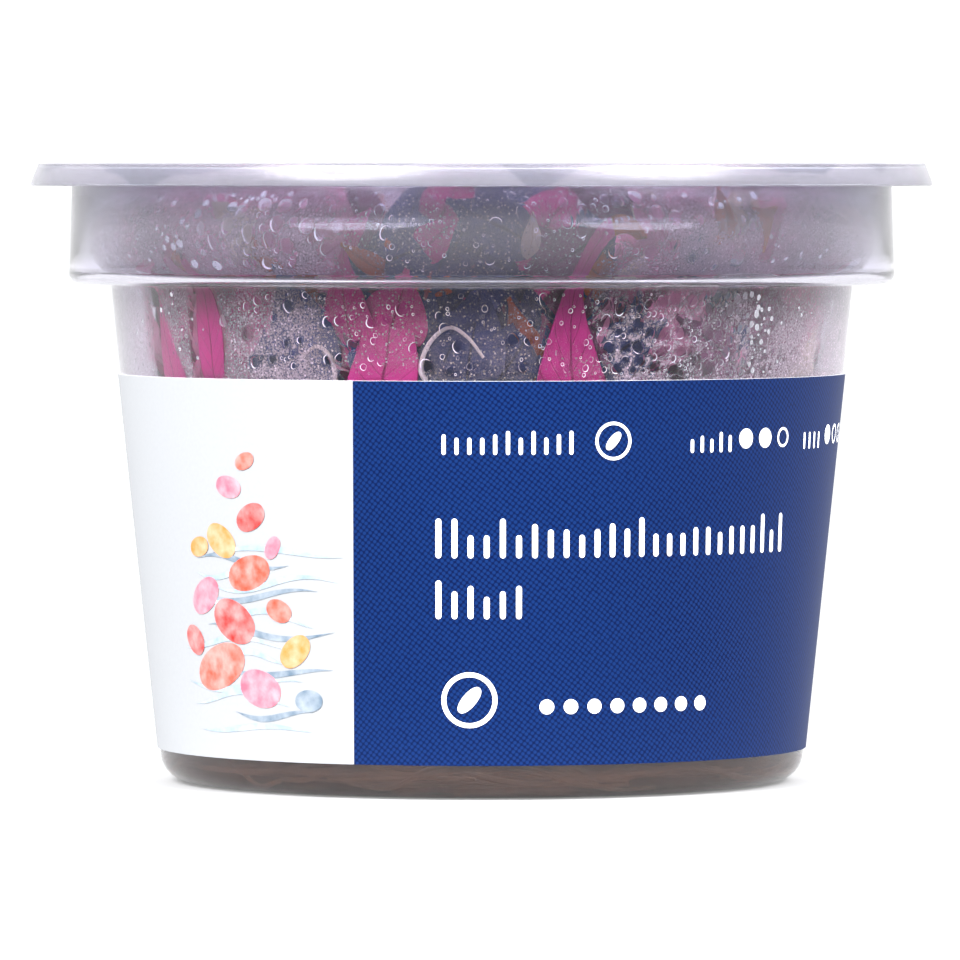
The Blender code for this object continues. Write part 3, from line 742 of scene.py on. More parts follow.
def boxError(spec, turn, tilt, low, high):  # how far a turn and tilt leave a leaf from its solid's box
    frames = framesOf(spec, turn, tilt)
    points = []
    for i in range(0, leaf["frames"] + 1, 4):
        centre, side, face = frames[i]
        half = bladeWidth(i / leaf["frames"]) * spec[5] / 2 * mm
        for across in (-1, 0, 1):
            point = centre + side * across * half + face * abs(across) * half * leaf["fold"]
            points.append(pressedInside(point, leaf["clear"], wallInside))
    cloud = np.array(points)
    middle = (cloud.max(0) + cloud.min(0)) / 2 - (np.array(low) + np.array(high)) / 2
    return np.abs(middle).max() / mm


def settle(spec):  # the turn and tilt that the solid has
    low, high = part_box(f"leaf_{spec[0]}_{spec[1]}")
    places = [(turn, tilt) for tilt in tilts for turn in turns]
    errors = [boxError(spec, *place, low, high) for place in places]
    best = min(range(len(places)), key=lambda i: errors[i])
    return places[best], errors[best]


def addBlade(form, frames, width, thick, across, rows, wave, seed, clear, outline=(), off=None):
    # one blade from a grid: folded on its midrib, waved at its margins, pressed inside the cup
    mark = form.verts.layers.float_vector.get("blade") or form.verts.layers.float_vector.new("blade")
    grid = bmesh.ops.create_grid(form, x_segments=across, y_segments=rows, size=1.0)["verts"]
    for vert in grid:
        sideShare, along = vert.co.x, (vert.co.y + 1) / 2
        place = along * (len(frames) - 1)
        first = min(int(place), len(frames) - 2)
        centre, side, face = (a.lerp(b, place - first) for a, b in zip(frames[first], frames[first + 1]))
        half = bladeWidth(along, *outline) * width / 2 * mm
        fold = math.sqrt(sideShare**2 + leaf["round"]) - leaf["flatTo"]
        ripple = wave * sideShare**2 * math.sin(math.tau * leaf["waves"] * along + seed) * bladeWidth(along)
        groove = -leaf["groove"] * math.exp(-((sideShare / leaf["grooveHalf"]) ** 2)) * bladeWidth(along)
        point = centre + side * sideShare * half + face * (fold * half * leaf["fold"] + (ripple + groove) * mm)
        vert[mark] = (sideShare, along, seed)
        vert.co = pressedInside(point, clear)
        if off:
            outward = Vector((point.x * 1.3, point.y * 1.3, point.z))
            onWall = pressedInside(outward, clear + between(off, along))
            vert.co = vert.co.lerp(onWall, min(max((along - leaf["pressedFrom"]) / leaf["pressedOver"], 0), 1))
    faces = {face for vert in grid for face in vert.link_faces}
    bmesh.ops.solidify(form, geom=list(faces), thickness=thick * mm)
    return grid


def addLeafPieces(name, forms):
    return [addPiece(name + kind, form, [leafSkin(kind)], leafSlots[kind], (), leaf["sharp"])
            for kind, form in forms.items()]


def makeLeaves():
    blades = []
    for spec in leafSpecs():
        plantlet, number = spec[:2]
        (turn, tilt), error = settle(spec)
        if error > leaf["boxOff"]:
            print("leaf", plantlet, number, "is off by", round(error, 2), turn, tilt)
        form = bmesh.new()
        onWallNow = (plantlet, number) in wallLeaves
        outline = outlines.get((plantlet, number), ())
        width = spec[5] * narrowed.get((plantlet, number), 1)
        wave = leaf["wave"] * (leaf["calm"] if onWallNow else 1)
        addBlade(form, framesOf(spec, turn, tilt), width, leaf["thick"], leaf["across"], leaf["rows"], wave,
                 plantlet + 0.7 * number, leaf["clear"], outline, standOff.get((plantlet, number)))
        if (plantlet, number) == hooked:  # its tip has dried to brick brown
            mark = form.verts.layers.float_vector["blade"]
            for face in form.faces:
                face.material_index = 1 if min(vert[mark].y for vert in face.verts) > leaf["driedFrom"] else 0
        if (plantlet, number) == curled:
            finish = "bronze"
        elif onWallNow:
            finish = "magenta"
        else:
            finish = ["plum", "bronze", "magenta"][(2 * plantlet + number) % 3]
        name = f"leaf_{plantlet}_{number}"
        piece = addPiece("blade" + name[4:], form, [leafSkin(finish), leafSkin("bronze")], "leaf_" + finish,
                         [name], leaf["sharp"])
        smooth = piece.modifiers.new("Smooth", "SUBSURF")
        smooth.levels = smooth.render_levels = 1
        blades.append(piece)
    return blades


leafSlots = {"magenta": "leaf_magenta", "rose": "leaf_magenta", "plum": "leaf_plum", "slate": "leaf_plum",
             "bronze": "leaf_bronze", "cream": "leaf_bronze"}
leafFinishes = {
    # blade, blade between veins, vein, roughness, light that comes through
    "magenta": ("#dc3796", "#c42c82", "#92185c", 0.45, "#f23aa0"),
    "plum": ("#8c3468", "#682652", "#401636", 0.45, "#c43c94"),
    "bronze": ("#cc5c34", "#a8442e", "#7c3022", 0.45, "#f0803c"),
    # slate: a dark navy blade, painted shade, put where the canopy lies in shadow
    "slate": ("#344280", "#28325f", "#1a1e3c", 0.5, "#4a5eae"),
    "rose": ("#f0a2c4", "#e084b0", "#c8649c", 0.45, "#f79ac2"),
    "cream": ("#f2e4cc", "#e4d0bc", "#ccb09c", 0.45, "#f4e2c4"),
}


def leafSkin(finish):
    # Living leaf: waxy skin over wet tissue, thin enough for light to come through in a clearer red. Fine
    # darker side veins run out from the midrib, and the blade between them is slightly quilted.
    name = finish + "Leaf"
    found = bpy.data.materials.get(name)
    if found:
        return found
    material, tree, shader = newMaterial(name)
    blade, tissueTint, vein, gloss, lit = leafFinishes[finish]
    mark = addNode(tree, "Attribute", {}, "Vector", attribute_name="blade")
    parts = addNode(tree, "SeparateXYZ", {0: mark}, "all")
    fromRib = addNode(tree, "Math", {0: parts[0]}, operation="ABSOLUTE")
    back = addNode(tree, "Math", {0: fromRib, 1: -1.7}, operation="MULTIPLY")
    along = addNode(tree, "Math", {0: parts[1], 1: 11.0, 2: back}, operation="MULTIPLY_ADD")
    step = addNode(tree, "Math", {0: along, 1: 0.5}, operation="PINGPONG")
    sideVein = addNode(tree, "MapRange", {0: step, 1: 0.01, 2: 0.06, 3: 0.7, 4: 0.0}, **eased)
    rib = addNode(tree, "MapRange", {0: fromRib, 1: 0.02, 2: 0.06, 3: 1.0, 4: 0.0}, **eased)
    veins = addNode(tree, "Math", {0: sideVein, 1: rib}, operation="MAXIMUM")
    place = addNode(tree, "TexCoord", {}, "Object")
    cloud = addNode(tree, "TexNoise", {"Vector": place, "Scale": 1 / (4 * mm), "Detail": 4.0})
    cells = addNode(tree, "TexVoronoi", {"Vector": place, "Scale": 1 / (0.6 * mm)}, feature="F1")
    tissue = mixColours(tree, cloud, linear(blade), linear(tissueTint))
    colour = mixColours(tree, veins, tissue, linear(vein))
    height = addNode(tree, "Math", {0: cells, 1: 0.25, 2: veins}, operation="MULTIPLY_ADD")
    relief = addNode(tree, "Bump", {"Strength": 0.5, "Distance": 0.12 * mm, "Height": height})
    wire(tree, shader, {"Base Color": colour, "Roughness": gloss, "IOR": 1.42, "Specular IOR Level": 0.25,
                        "Normal": relief})
    glow = mixColours(tree, 0.5, colour, linear(lit))
    through = addNode(tree, "BsdfTranslucent", {"Color": glow})
    both = addNode(tree, "MixShader", {0: leaf["through"], 1: shader.outputs[0], 2: through})
    tree.links.new(both, tree.nodes["Material Output"].inputs["Surface"])
    return material


def stemSkin():  # fleshy stem: reddish, pale flecked, a little glossy
    found = bpy.data.materials.get("fleshyStem")
    if found:
        return found
    material, tree, shader = newMaterial("fleshyStem")
    place = addNode(tree, "TexCoord", {}, "Object")
    streaks = addNode(tree, "Mapping", {"Vector": place, "Scale": (1, 1, 0.15)})
    cloud = addNode(tree, "TexNoise", {"Vector": streaks, "Scale": 1 / (0.8 * mm), "Detail": 3.0})
    colour = mixColours(tree, cloud, linear("#7a2745"), linear("#b5617a"))
    wire(tree, shader, {"Base Color": colour, "Roughness": 0.42, "IOR": 1.4})
    return material


def tubeForm(form, points, radii, sides=12):
    # a ring drawn along the points, turned as little as it can be at each one
    edges = None
    frame = None
    for i, (point, radius) in enumerate(zip(points, radii)):
        ahead = points[min(i + 1, len(points) - 1)] - points[max(i - 1, 0)]
        heading = ahead.normalized()
        if edges is None:
            ring = bmesh.ops.create_circle(form, segments=sides, radius=1.0)["verts"]
            edges = list({edge for vert in ring for edge in vert.link_edges})
            first, turn = list(edges), heading.to_track_quat("Z", "Y")
            local = {vert: vert.co.copy() for vert in ring}
        else:
            made = bmesh.ops.extrude_edge_only(form, edges=edges)["geom"]
            fresh = [item for item in made if isinstance(item, bmesh.types.BMVert)]
            edges = [item for item in made if isinstance(item, bmesh.types.BMEdge)]
            turn = lastHeading.rotation_difference(heading) @ turn
            undo = frame.inverted()
            local = {vert: undo @ ((vert.co - lastPoint) / lastRadius) for vert in fresh}
        frame = turn.to_matrix()
        for vert, at in local.items():
            vert.co = point + frame @ at * (radius * mm)
        lastHeading, lastPoint, lastRadius = heading, point, radius * mm
    bmesh.ops.edgeloop_fill(form, edges=[edge for edge in first if edge.is_valid])
    bmesh.ops.edgeloop_fill(form, edges=[edge for edge in edges if edge.is_valid])


def makeStems():
    for plantlet, (*_, count) in enumerate(plantlets, 1):
        nodes = [pair[0] for pair in leafPairs[-count:]]
        shares = [i / 40 for i in range(41)]
        foot = stemPoint(plantlet, 0) - Vector((0, 0, stem["sunk"] * mm))
        points = [foot, foot.lerp(stemPoint(plantlet, 0), 0.5)] + [stemPoint(plantlet, s) for s in shares]
        swell = [0.28 * sum(math.exp(-(((s - n) / 0.02) ** 2)) for n in nodes) for s in shares]
        taper = [stem["radius"] * (1 - (1 - stem["tip"]) * s) - 0.1 for s in shares]
        radii = [0.9, 1.0] + [a + b for a, b in zip(taper, swell)]
        form = bmesh.new()
        tubeForm(form, points, radii, 14)
        addPiece(f"stalk_{plantlet}", form, [stemSkin()], "stem", [f"stem_{plantlet}"])


# Young side shoots fill the cup between the grown leaves

shoots = {
    "seed": 21, "inner": 26, "outer": 56, "places": (1, 4, 5, 8, 2, 3, 4, 1, 6, 7, 5, 8),
    # where on the stem one starts, how far it turns from the middle or the wall, and how it climbs
    "start": (0.55, 0.92), "innerTurn": 75, "outerTurn": 70, "pitch": (15, 50), "outerPitch": 20,
    "endPitch": (60, 85), "length": (13, 24), "radius": 0.42, "taper": 0.05, "stalkClear": 2.0,
    # its leaves: the joints they stand at, and their forms
    "joints": (4, 6, 8, 10), "leafLength": (7.5, 13), "leafWidth": 0.42, "shorter": 0.04, "leafTurn": 20,
    "leafPitch": (15, 45), "leafEndPitch": (50, 95), "leafLean": 30, "wave": 0.3, "clear": 2.2,
}
# what grows behind the wall: first and last azimuth, lowest height, kinds of leaf; slate, massed in
# the middle, is painted shade
growth = [
    (-85, -50, 58, ("plum", "rose", "rose", "magenta")),
    (-50, -24, 58, ("rose", "rose", "cream", "rose", "bronze")),
    (-24, 20, 58, ("slate", "slate", "slate", "magenta", "plum", "slate", "bronze")),
    (20, 56, 58, ("rose", "rose", "cream", "slate", "rose")), (56, 85, 58, ("plum", "plum", "rose", "cream")),
    (-64, -40, 0, ("rose", "rose", "magenta")), (-40, -22, 0, ("slate", "rose", "slate")),
    (-22, 14, 0, ("slate", "slate", "slate", "plum")), (14, 30, 0, ("slate", "plum", "rose")),
    (30, 60, 0, ("plum", "rose", "slate", "plum")), (-180, 180, 0, ("plum", "slate", "magenta", "plum")),
]


def finishAt(point, deal):
    azimuth = math.degrees(math.atan2(point.x, -point.y))
    for first, last, low, kinds in growth:
        if first <= azimuth <= last and point.z >= low * mm:
            return deal.choice(kinds)


def makeShoots():
    deal = random.Random(shoots["seed"])
    stalks = bmesh.new()
    forms = {finish: bmesh.new() for finish in ("plum", "magenta", "slate", "bronze", "rose", "cream")}
    for number in range(shoots["inner"] + shoots["outer"]):
        inner = number < shoots["inner"]
        plantlet = number % len(plantlets) + 1 if inner else shoots["places"][number % len(shoots["places"])]
        azimuth = plantlets[plantlet - 1][0]
        start = stemPoint(plantlet, deal.uniform(*shoots["start"]))
        if inner:
            facing = azimuth + (180 + spread(deal, shoots["innerTurn"]))
        else:
            facing = azimuth + spread(deal, shoots["outerTurn"])
        length = deal.uniform(*shoots["length"])
        pitch = deal.uniform(*shoots["pitch"]) + (0 if inner else shoots["outerPitch"])
        frames = bladeFrames(start, facing, length, pitch, deal.uniform(*shoots["endPitch"]), 0, 0, 10)
        points = [pressedInside(frame[0], shoots["stalkClear"]) for frame in frames]
        tubeForm(stalks, points, [shoots["radius"] * (1 - shoots["taper"] * i) for i in range(len(points))], 8)
        for place in shoots["joints"]:
            for side in (0, 1):
                size = deal.uniform(*shoots["leafLength"]) * (1 - shoots["shorter"] * (place - 4))
                way = facing + 90 * place / 2 + 180 * side + spread(deal, shoots["leafTurn"])
                pitch, endPitch = deal.uniform(*shoots["leafPitch"]), deal.uniform(*shoots["leafEndPitch"])
                endLean = spread(deal, shoots["leafLean"])
                blade = bladeFrames(points[place], way, size, pitch, endPitch, 0, endLean, 12)
                finish = finishAt(blade[6][0], deal)
                addBlade(forms[finish], blade, size * shoots["leafWidth"], leaf["youngThick"], 4, 12,
                         shoots["wave"], deal.uniform(0, 6), shoots["clear"])
    addPiece("sideShoots", stalks, [stemSkin()], "stem")
    addLeafPieces("youngLeaves_", forms)


# Leaves and leaf tips that lie against the wall: azimuth and height of the middle, length, width, lean from
# upright, kind, and how far inside the wall; a near one wipes the fog off

# the slate leaves below are painted shade: dark navy blades where the middle of the cup is in shadow
leaning = [
    (-51.5, 61.3, 5.0, 2.2, 20, "bronze", 0.5), (-41.3, 66.6, 5.2, 3.0, -60, "cream", 0.5),
    (-61, 60.4, 7.0, 2.4, 75, "magenta", 0.5), (-18.4, 65.2, 5.0, 2.4, 40, "magenta", 0.6),
    (-17.2, 61.4, 6.5, 2.6, -55, "bronze", 0.55), (-6.8, 63.8, 7.0, 4.2, 50, "magenta", 0.8),
    # the small cream leaf at azimuth 7.2 on the next line is a painted highlight: a pale blade in place of a
    # bright reflection
    (7.2, 64.2, 5.0, 2.2, 5, "cream", 0.6), (76, 66.9, 6.0, 3.2, 70, "cream", 0.5),
    (69, 60.8, 8.0, 2.8, 80, "magenta", 0.5), (34, 54.8, 12.0, 8.0, 30, "rose", 1.5),
    (42, 51.0, 16.0, 6.0, -60, "plum", 1.3), (-50, 53.5, 16.0, 7.0, 5, "rose", 1.3),
    (-13.5, 55.6, 10.0, 8.0, 20, "magenta", 1.1), (-1.5, 52.5, 14.0, 8.0, 10, "slate", 2.4),
    (38, 66.2, 8.0, 3.4, 8, "bronze", 0.45),
    (66, 50.0, 8.0, 4.0, 20, "cream", 0.6), (-31, 53.5, 15.0, 9.0, -12, "slate", 1.5),
    (-64, 65.0, 12.0, 6.0, 15, "plum", 1.5), (-46, 65.0, 14.0, 7.0, -40, "rose", 1.6),
    (-32, 64.5, 13.0, 7.0, 30, "rose", 1.8), (2, 65.5, 13.0, 6.5, -65, "slate", 1.6),
    (14, 62.5, 12.0, 6.0, 60, "plum", 1.8), (-12, 62.0, 13.0, 7.0, 70, "slate", 1.8),
    (28, 64.5, 13.0, 7.0, -35, "rose", 1.6), (50, 65.0, 14.0, 7.0, 35, "rose", 1.7),
    (66, 65.0, 12.0, 6.5, -25, "plum", 1.5), (24, 51.5, 12.0, 6.5, 60, "slate", 1.6),
    (56, 54.5, 13.0, 7.0, -30, "plum", 1.6), (72, 53.5, 12.0, 6.0, 10, "rose", 1.7),
    (-72, 53.0, 11.0, 5.0, -10, "rose", 1.8), (-67, 62.0, 13.0, 9.0, 12, "magenta", 0.95),
]


crowd = {
    "seed": 51, "columns": 44, "rows": (52.5, 61.5, 66.0, 68.6), "rowSpread": 1.5, "depths": (2.3, 3.4, 4.5),
    "deeper": 0.5, "length": (10, 15), "width": (5, 7.5), "lean": 70,
}


def crowded():  # more such leaves, dealt out behind the first ones all round
    deal = random.Random(crowd["seed"])
    for row, middle in enumerate(crowd["rows"]):
        for column in range(crowd["columns"]):
            azimuth = -180 + 360 * (column + deal.random()) / crowd["columns"]
            height = middle + spread(deal, crowd["rowSpread"])
            depth = crowd["depths"][(column + row) % 3] + deal.uniform(0, crowd["deeper"])
            kind = finishAt(polar(inside(height), azimuth, height), deal)
            yield (azimuth, height, deal.uniform(*crowd["length"]), deal.uniform(*crowd["width"]),
                   spread(deal, crowd["lean"]), kind, depth)


# the blades of both kinds: the foot, a share of the length, is sunk deeper than the rest
lying = {
    "steps": 12, "foot": 0.35, "footSunk": 3.0, "off": 0.25, "across": 6, "rows": 14, "wave": 0.15, "bias": 0.7,
}


def makeLeaning():
    forms = {kind: bmesh.new() for kind in ("bronze", "cream", "magenta", "rose", "plum", "slate")}
    for number, (azimuth, height, length, width, lean, kind, depth) in enumerate(leaning + list(crowded())):
        lean, frames = math.radians(lean), []
        for i in range(lying["steps"] + 1):
            share = i / lying["steps"]
            reach = length * (share - 0.5)
            place = height + reach * math.cos(lean)
            turn = azimuth + math.degrees(reach * math.sin(lean) / inside(height))
            sink = depth + lying["footSunk"] * max(lying["foot"] - share, 0) / lying["foot"]
            centre = polar(inside(place) - sink - lying["off"], turn, place)
            outward = polar(1.0, turn, 0).normalized()
            sideways = Vector((-outward.y, outward.x, 0))
            side = sideways * math.cos(lean) - Vector((0, 0, 1)) * math.sin(lean)
            frames.append((centre, side, -outward))
        addBlade(forms[kind], frames, width, leaf["youngThick"], lying["across"], lying["rows"], lying["wave"],
                 number, depth - 0.1, (lying["bias"],))
    return addLeafPieces("leaningLeaves_", forms)


# Roots: three arch on the wall, and many run through the gel

rootPaths = [  # plantlet, foot height, bends as azimuth and height
    (2, 41.0, [(-23.4, 46.0), (-24.2, 49.8), (-26.6, 51.4), (-29.6, 50.2)]),
    (2, 34.0, [(-8.8, 45.0), (-9.6, 49.0), (-8.0, 52.0), (-5.0, 53.6), (-2.2, 52.5), (0.3, 50.2)]),
    (7, 40.0, [(174, 47.5), (178, 51.0), (183, 52.4), (188, 50.0)]),
]
root = {"radius": 0.34, "tip": 0.5, "gap": 0.3, "inStem": 0.3, "sides": 12}
# in the gel: a strand leaves the stem's foot, runs out towards the wall and drifts round it as it sinks
strand = {
    "count": 70, "seed": 31, "foot": 3.5, "turn": 12, "lowest": (1.6, 3.4), "drift": (5, 12), "knots": 5,
    "reach": (32.5, 1.4), "furthest": (35.0, 0.8), "fall": (7.0, 1.9), "uneven": 0.4, "radius": 0.42,
    "thinner": 0.5,
}


def smoothPath(knots, count):  # Catmull-Rom
    ends = [knots[0] * 2 - knots[1]] + knots + [knots[-1] * 2 - knots[-2]]
    points = []
    for a, b, c, d in zip(ends, ends[1:], ends[2:], ends[3:]):
        for i in range(count):
            t = i / count
            points.append(0.5 * (2 * b + (c - a) * t + (2 * a - 5 * b + 4 * c - d) * t**2
                                 + (3 * b - a - 3 * c + d) * t**3))
    return points + [knots[-1]]


def rootSkin(name, first, second, rough):  # young root: wet, milky, with faint darker bands
    return mottled(name, 1.2 * mm, 3.0, first, second, {"Roughness": rough, "IOR": 1.38})[0]


def makeRoots():
    skin = rootSkin("wetWhiteRoot", "#f2e9e6", "#d9cbc8", 0.3)
    for number, (plantlet, height, bends) in enumerate(rootPaths, 1):
        centre = stemPoint(plantlet, (height - gel["topZ"]) / plantlets[plantlet - 1][2])
        inset = root["gap"] + root["radius"]
        knots = [polar(wallInside(z) - inset, azimuth, z) for azimuth, z in bends]
        away = (knots[0] - centre).normalized()
        knots.insert(0, centre + away * (stem["radius"] - root["inStem"]) * mm)
        points = [pressedInside(point, inset) for point in smoothPath(knots, 12)]
        radii = [root["radius"] * (1 - (1 - root["tip"]) * i / (len(points) - 1)) for i in range(len(points))]
        form = bmesh.new()
        tubeForm(form, points, radii, root["sides"])
        addPiece(f"airRoot_{number}", form, [skin], "root", [f"root_{number}"])

    deal = random.Random(strand["seed"])
    form = bmesh.new()
    for number in range(strand["count"]):
        plantlet = number % len(plantlets) + 1
        azimuth = plantlets[plantlet - 1][0]
        knots = [stemPoint(plantlet, 0) - Vector((0, 0, strand["foot"] * mm))]
        turn, low = azimuth + spread(deal, strand["turn"]), deal.uniform(*strand["lowest"])
        drift = deal.choice((-1, 1)) * deal.uniform(*strand["drift"])
        (start, outwards), (most, further), (high, fall) = strand["reach"], strand["furthest"], strand["fall"]
        for i in range(strand["knots"]):
            radius = min(start + outwards * i, most + deal.uniform(0, further))
            height = max(high - fall * i, low) + spread(deal, strand["uneven"])
            knots.append(polar(radius, turn + drift * i, height))
        points = smoothPath(knots, 5)
        radii = [strand["radius"] * (1 - strand["thinner"] * i / (len(points) - 1)) for i in range(len(points))]
        tubeForm(form, points, radii, 7)
    addPiece("gelRoots", form, [rootSkin("rootInGel", "#8c7f74", "#b8aa9a", 0.5)], "root")


# Gel and pooled water

def makeGel():
    # The gel's skin lies just inside the cup's plastic, so that no film of air shows between the two
    sunk = gel["sunk"]
    tilt = math.degrees(math.atan(wallSlope))
    corner, wall = cup["cornerR"], cup["wall"]
    cornerR = wallOutside(corner) - corner / math.cos(math.radians(tilt))
    top = gel["topZ"] + gel["meniscus"]
    profile = [(0, gel["topZ"])] + [(r, gel["topZ"]) for r in (12, 24, wallInside(top) - gel["reach"])]
    for i in range(1, 7):
        share = i / 6
        profile.append((wallInside(top) + sunk - gel["reach"] * (1 - share),
                        gel["topZ"] + gel["meniscus"] * share ** gel["hollow"]))
    profile += arc(cornerR, corner, corner - wall + sunk, -tilt, -90, 8)
    profile += [(20, wall - sunk), (0, wall - sunk)]
    form = turned(profile, gel["segments"])
    addPiece("agarGel", form, [agarGel()], "nutrient_gel", ["gel"])


def agarGel():  # set agar: water-like gel, slightly clouded and amber-grey
    material, tree, shader, cloud = mottled("setAgarGel", 8 * mm, 3.0, "#94705c", "#6e5444", {
        "Roughness": 0.1, "Transmission Weight": 0.8, "IOR": 1.34})
    haze = addNode(tree, "Bump", {"Strength": 0.25, "Distance": 0.5 * mm, "Height": cloud})
    tint = addNode(tree, "VolumeAbsorption", {"Color": linear("#bca08a"), "Density": 35.0})
    wire(tree, shader, {"Normal": haze})
    wire(tree, tree.nodes["Material Output"], {"Volume": tint})
    return material


pools = [  # first and last azimuth, distance from the axis, half width
    (34.5, 46.5, 45.9, 0.95), (50, 84, 46.0, 0.75), (-84, -62, 46.0, 0.5), (128, 168, 46.0, 0.8),
    (-160, -135, 46.0, 0.6),
]


def makePools():  # water lying on the cup's ledge
    form, count = bmesh.new(), 36
    base = cup["ledgeZ"] + cup["wall"]
    for first, last, distance, half in pools:
        points, radii = [], []
        for i in range(count + 1):
            share = i / count
            points.append(polar(distance, first + (last - first) * share, base))
            radii.append(max(half * math.sin(math.pi * share) ** 0.35, 0.05))
        tubeForm(form, points, radii, 14)
    for vert in form.verts:
        height = vert.co.z - base * mm
        vert.co.z = base * mm + (height * 0.9 if height > 0 else height * 0.06)
    addPiece("pooledWater", form, [condensedWater()], None)


# Label: a printed film wrap. u runs round the wall and v up it, in millimetres, with u 0 at the front

label = {
    "low": 3.9, "high": 47.5, "offWall": 0.08, "thick": 0.2, "halfTurn": 171.82, "panelEdge": -14.85,
    "panelEnd": -92.0, "columns": 240, "rows": 22,
}
inks = {"white": "#f4f5f8", "scarlet": "#a8201c", "coral": "#bc4430", "rose": "#c0586c", "amber": "#a8701e",
        "mist": "#7f919e", "slate": "#57697a"}


def onLabel(u, v, lift):
    radius = wallOutside(v) + label["offWall"] + label["thick"] + lift
    return polar(radius, math.degrees(u / radius), v)


def makeLabel():
    form = bmesh.new()
    mark = form.verts.layers.float_vector.new("print")
    bmesh.ops.create_grid(form, x_segments=label["columns"], y_segments=label["rows"], size=1.0)
    for vert in form.verts:
        height = label["low"] + (label["high"] - label["low"]) * (vert.co.y + 1) / 2
        radius = wallOutside(height) + label["offWall"] + label["thick"]
        turn = math.radians(label["halfTurn"]) * vert.co.x
        vert[mark] = (turn * radius, height, 1.0)
        vert.co = onLabel(turn * radius, height, 0)
    form.normal_update()
    bmesh.ops.solidify(form, geom=form.faces[:], thickness=label["thick"] * mm)
    bmesh.ops.recalc_face_normals(form, faces=form.faces)
    for face in form.faces:
        centre = face.calc_center_median()
        off = math.hypot(centre.x, centre.y) / mm - wallOutside(centre.z / mm) - label["offWall"]
        face.material_index = 0 if off > label["thick"] * 0.8 else 1
    spread = [math.hypot(v.co.x, v.co.y) / mm - wallOutside(v.co.z / mm) for v in form.verts]
    print("label stands", round(min(spread), 3), "to", round(max(spread), 3), "mm off the wall")
    addPiece("printedWrap", form, [printedFilm(), filmBack()], "label_print", ["label"])


def printedFilm():
    # White polypropylene film, screen printed in satin inks: a blue ground drawn by a fine halftone of
    # dots 0.5 mm apart, beside a bare white panel.
    material, tree, shader = newMaterial("screenPrintedFilm")
    mark = addNode(tree, "Attribute", {}, "Vector", attribute_name="print")
    parts = addNode(tree, "SeparateXYZ", {0: mark}, "all")
    pastStart = addNode(tree, "Math", {0: parts[0], 1: label["panelEdge"]}, operation="LESS_THAN")
    beforeEnd = addNode(tree, "Math", {0: parts[0], 1: label["panelEnd"]}, operation="GREATER_THAN")
    bare = addNode(tree, "Math", {0: pastStart, 1: beforeEnd}, operation="MULTIPLY")
    flat = addNode(tree, "CombineXYZ", {0: parts[0], 1: parts[1], 2: 0.0})
    screen = addNode(tree, "Mapping", {"Vector": flat, "Rotation": (0, 0, math.radians(37))})
    dots = addNode(tree, "TexVoronoi", {"Vector": screen, "Scale": 1 / 0.5, "Randomness": 0.12}, feature="F1")
    tone = addNode(tree, "MapRange", {0: dots, 1: 0.25, 2: 0.6, 3: 1.0, 4: 0.0}, **eased)
    cloud = addNode(tree, "TexNoise", {"Vector": flat, "Scale": 1 / 18, "Detail": 2.0})
    deep = mixColours(tree, cloud, linear("#020a2e"), linear("#04123a"))
    blue = mixColours(tree, tone, deep, linear("#0d2656"))
    fibres = addNode(tree, "TexNoise", {"Vector": flat, "Scale": 2.0, "Detail": 4.0})
    white = mixColours(tree, fibres, linear("#94969a"), linear("#9b9da0"))
    colour = mixColours(tree, bare, blue, white)
    relief = addNode(tree, "Bump", {"Strength": 0.12, "Distance": 0.02 * mm, "Height": fibres})
    wire(tree, shader, {"Base Color": colour, "Roughness": 0.5, "IOR": 1.46, "Specular IOR Level": 0.15,
                        "Normal": relief})
    return material


def filmBack():  # the film's unprinted side: matte white, faintly mottled by its glue
    return mottled("gluedFilmBack", 2 * mm, 2.0, "#e6e8ee", "#f2f3f6", {"Roughness": 0.6})[0]


def ink(name):  # screen ink: satin, its layer thick enough to cover, with slightly uneven strength
    material, tree, shader = newMaterial("screenInk_" + name)
    place = addNode(tree, "TexCoord", {}, "Object")
    cloud = addNode(tree, "TexNoise", {"Vector": place, "Scale": 1 / (1.6 * mm), "Detail": 5.0})
    strength = addNode(tree, "MapRange", {0: cloud, 1: 0.3, 2: 0.7})
    pale = [a * 0.8 + 0.2 * b for a, b in zip(linear(inks[name]), linear("#ffffff"))]
    second = linear(inks[name]) if name == "white" else pale
    colour = mixColours(tree, strength, linear(inks[name]), second)
    wire(tree, shader, {"Base Color": colour, "Roughness": 0.4, "IOR": 1.48})
    return material


def stroke(form, line, halfWidth, steps, across, lift, index):
    # one printed mark: a strip along line(t), as wide as halfWidth(t) says, for t from 0 to 1
    strip = bmesh.ops.create_grid(form, x_segments=across, y_segments=steps, size=1.0)["verts"]
    for vert in strip:
        t = (vert.co.y + 1) / 2
        (u, v), (a, b), (c, d) = line(t), line(max(t - 0.01, 0)), line(min(t + 0.01, 1))
        size = max(math.hypot(c - a, d - b), 1e-9)
        offset = vert.co.x * max(halfWidth(t), 0.01)
        vert.co = onLabel(u + (b - d) / size * offset, v + (c - a) / size * offset, lift)
    for face in {face for vert in strip for face in vert.link_faces}:
        face.material_index = index


def bar(form, u, low, high, width, lift, index=0):  # upright with round ends
    end = width / 2 / (high - low)
    cap = [0, 0.04, 0.15, 0.35, 0.65, 1]
    stops = [c * end for c in cap] + [1 - c * end for c in reversed(cap)]

    def line(t):
        place = t * (len(stops) - 1)
        i = min(int(place), len(stops) - 2)
        share = stops[i] + (stops[i + 1] - stops[i]) * (place - i)
        return u, low + (high - low) * share

    def half(t):
        share = (line(t)[1] - low) / (high - low)
        inEnd = max(end - share, share - 1 + end, 0) / end
        return width / 2 * math.sqrt(max(1 - inEnd**2, 0))

    stroke(form, line, half, len(stops) - 1, 2, lift, index)


def disc(form, u, v, radius, lift, index=0):
    stroke(form, lambda t: (u, v - radius * math.cos(math.pi * t)), lambda t: radius * math.sin(math.pi * t),
           12, 4, lift, index)


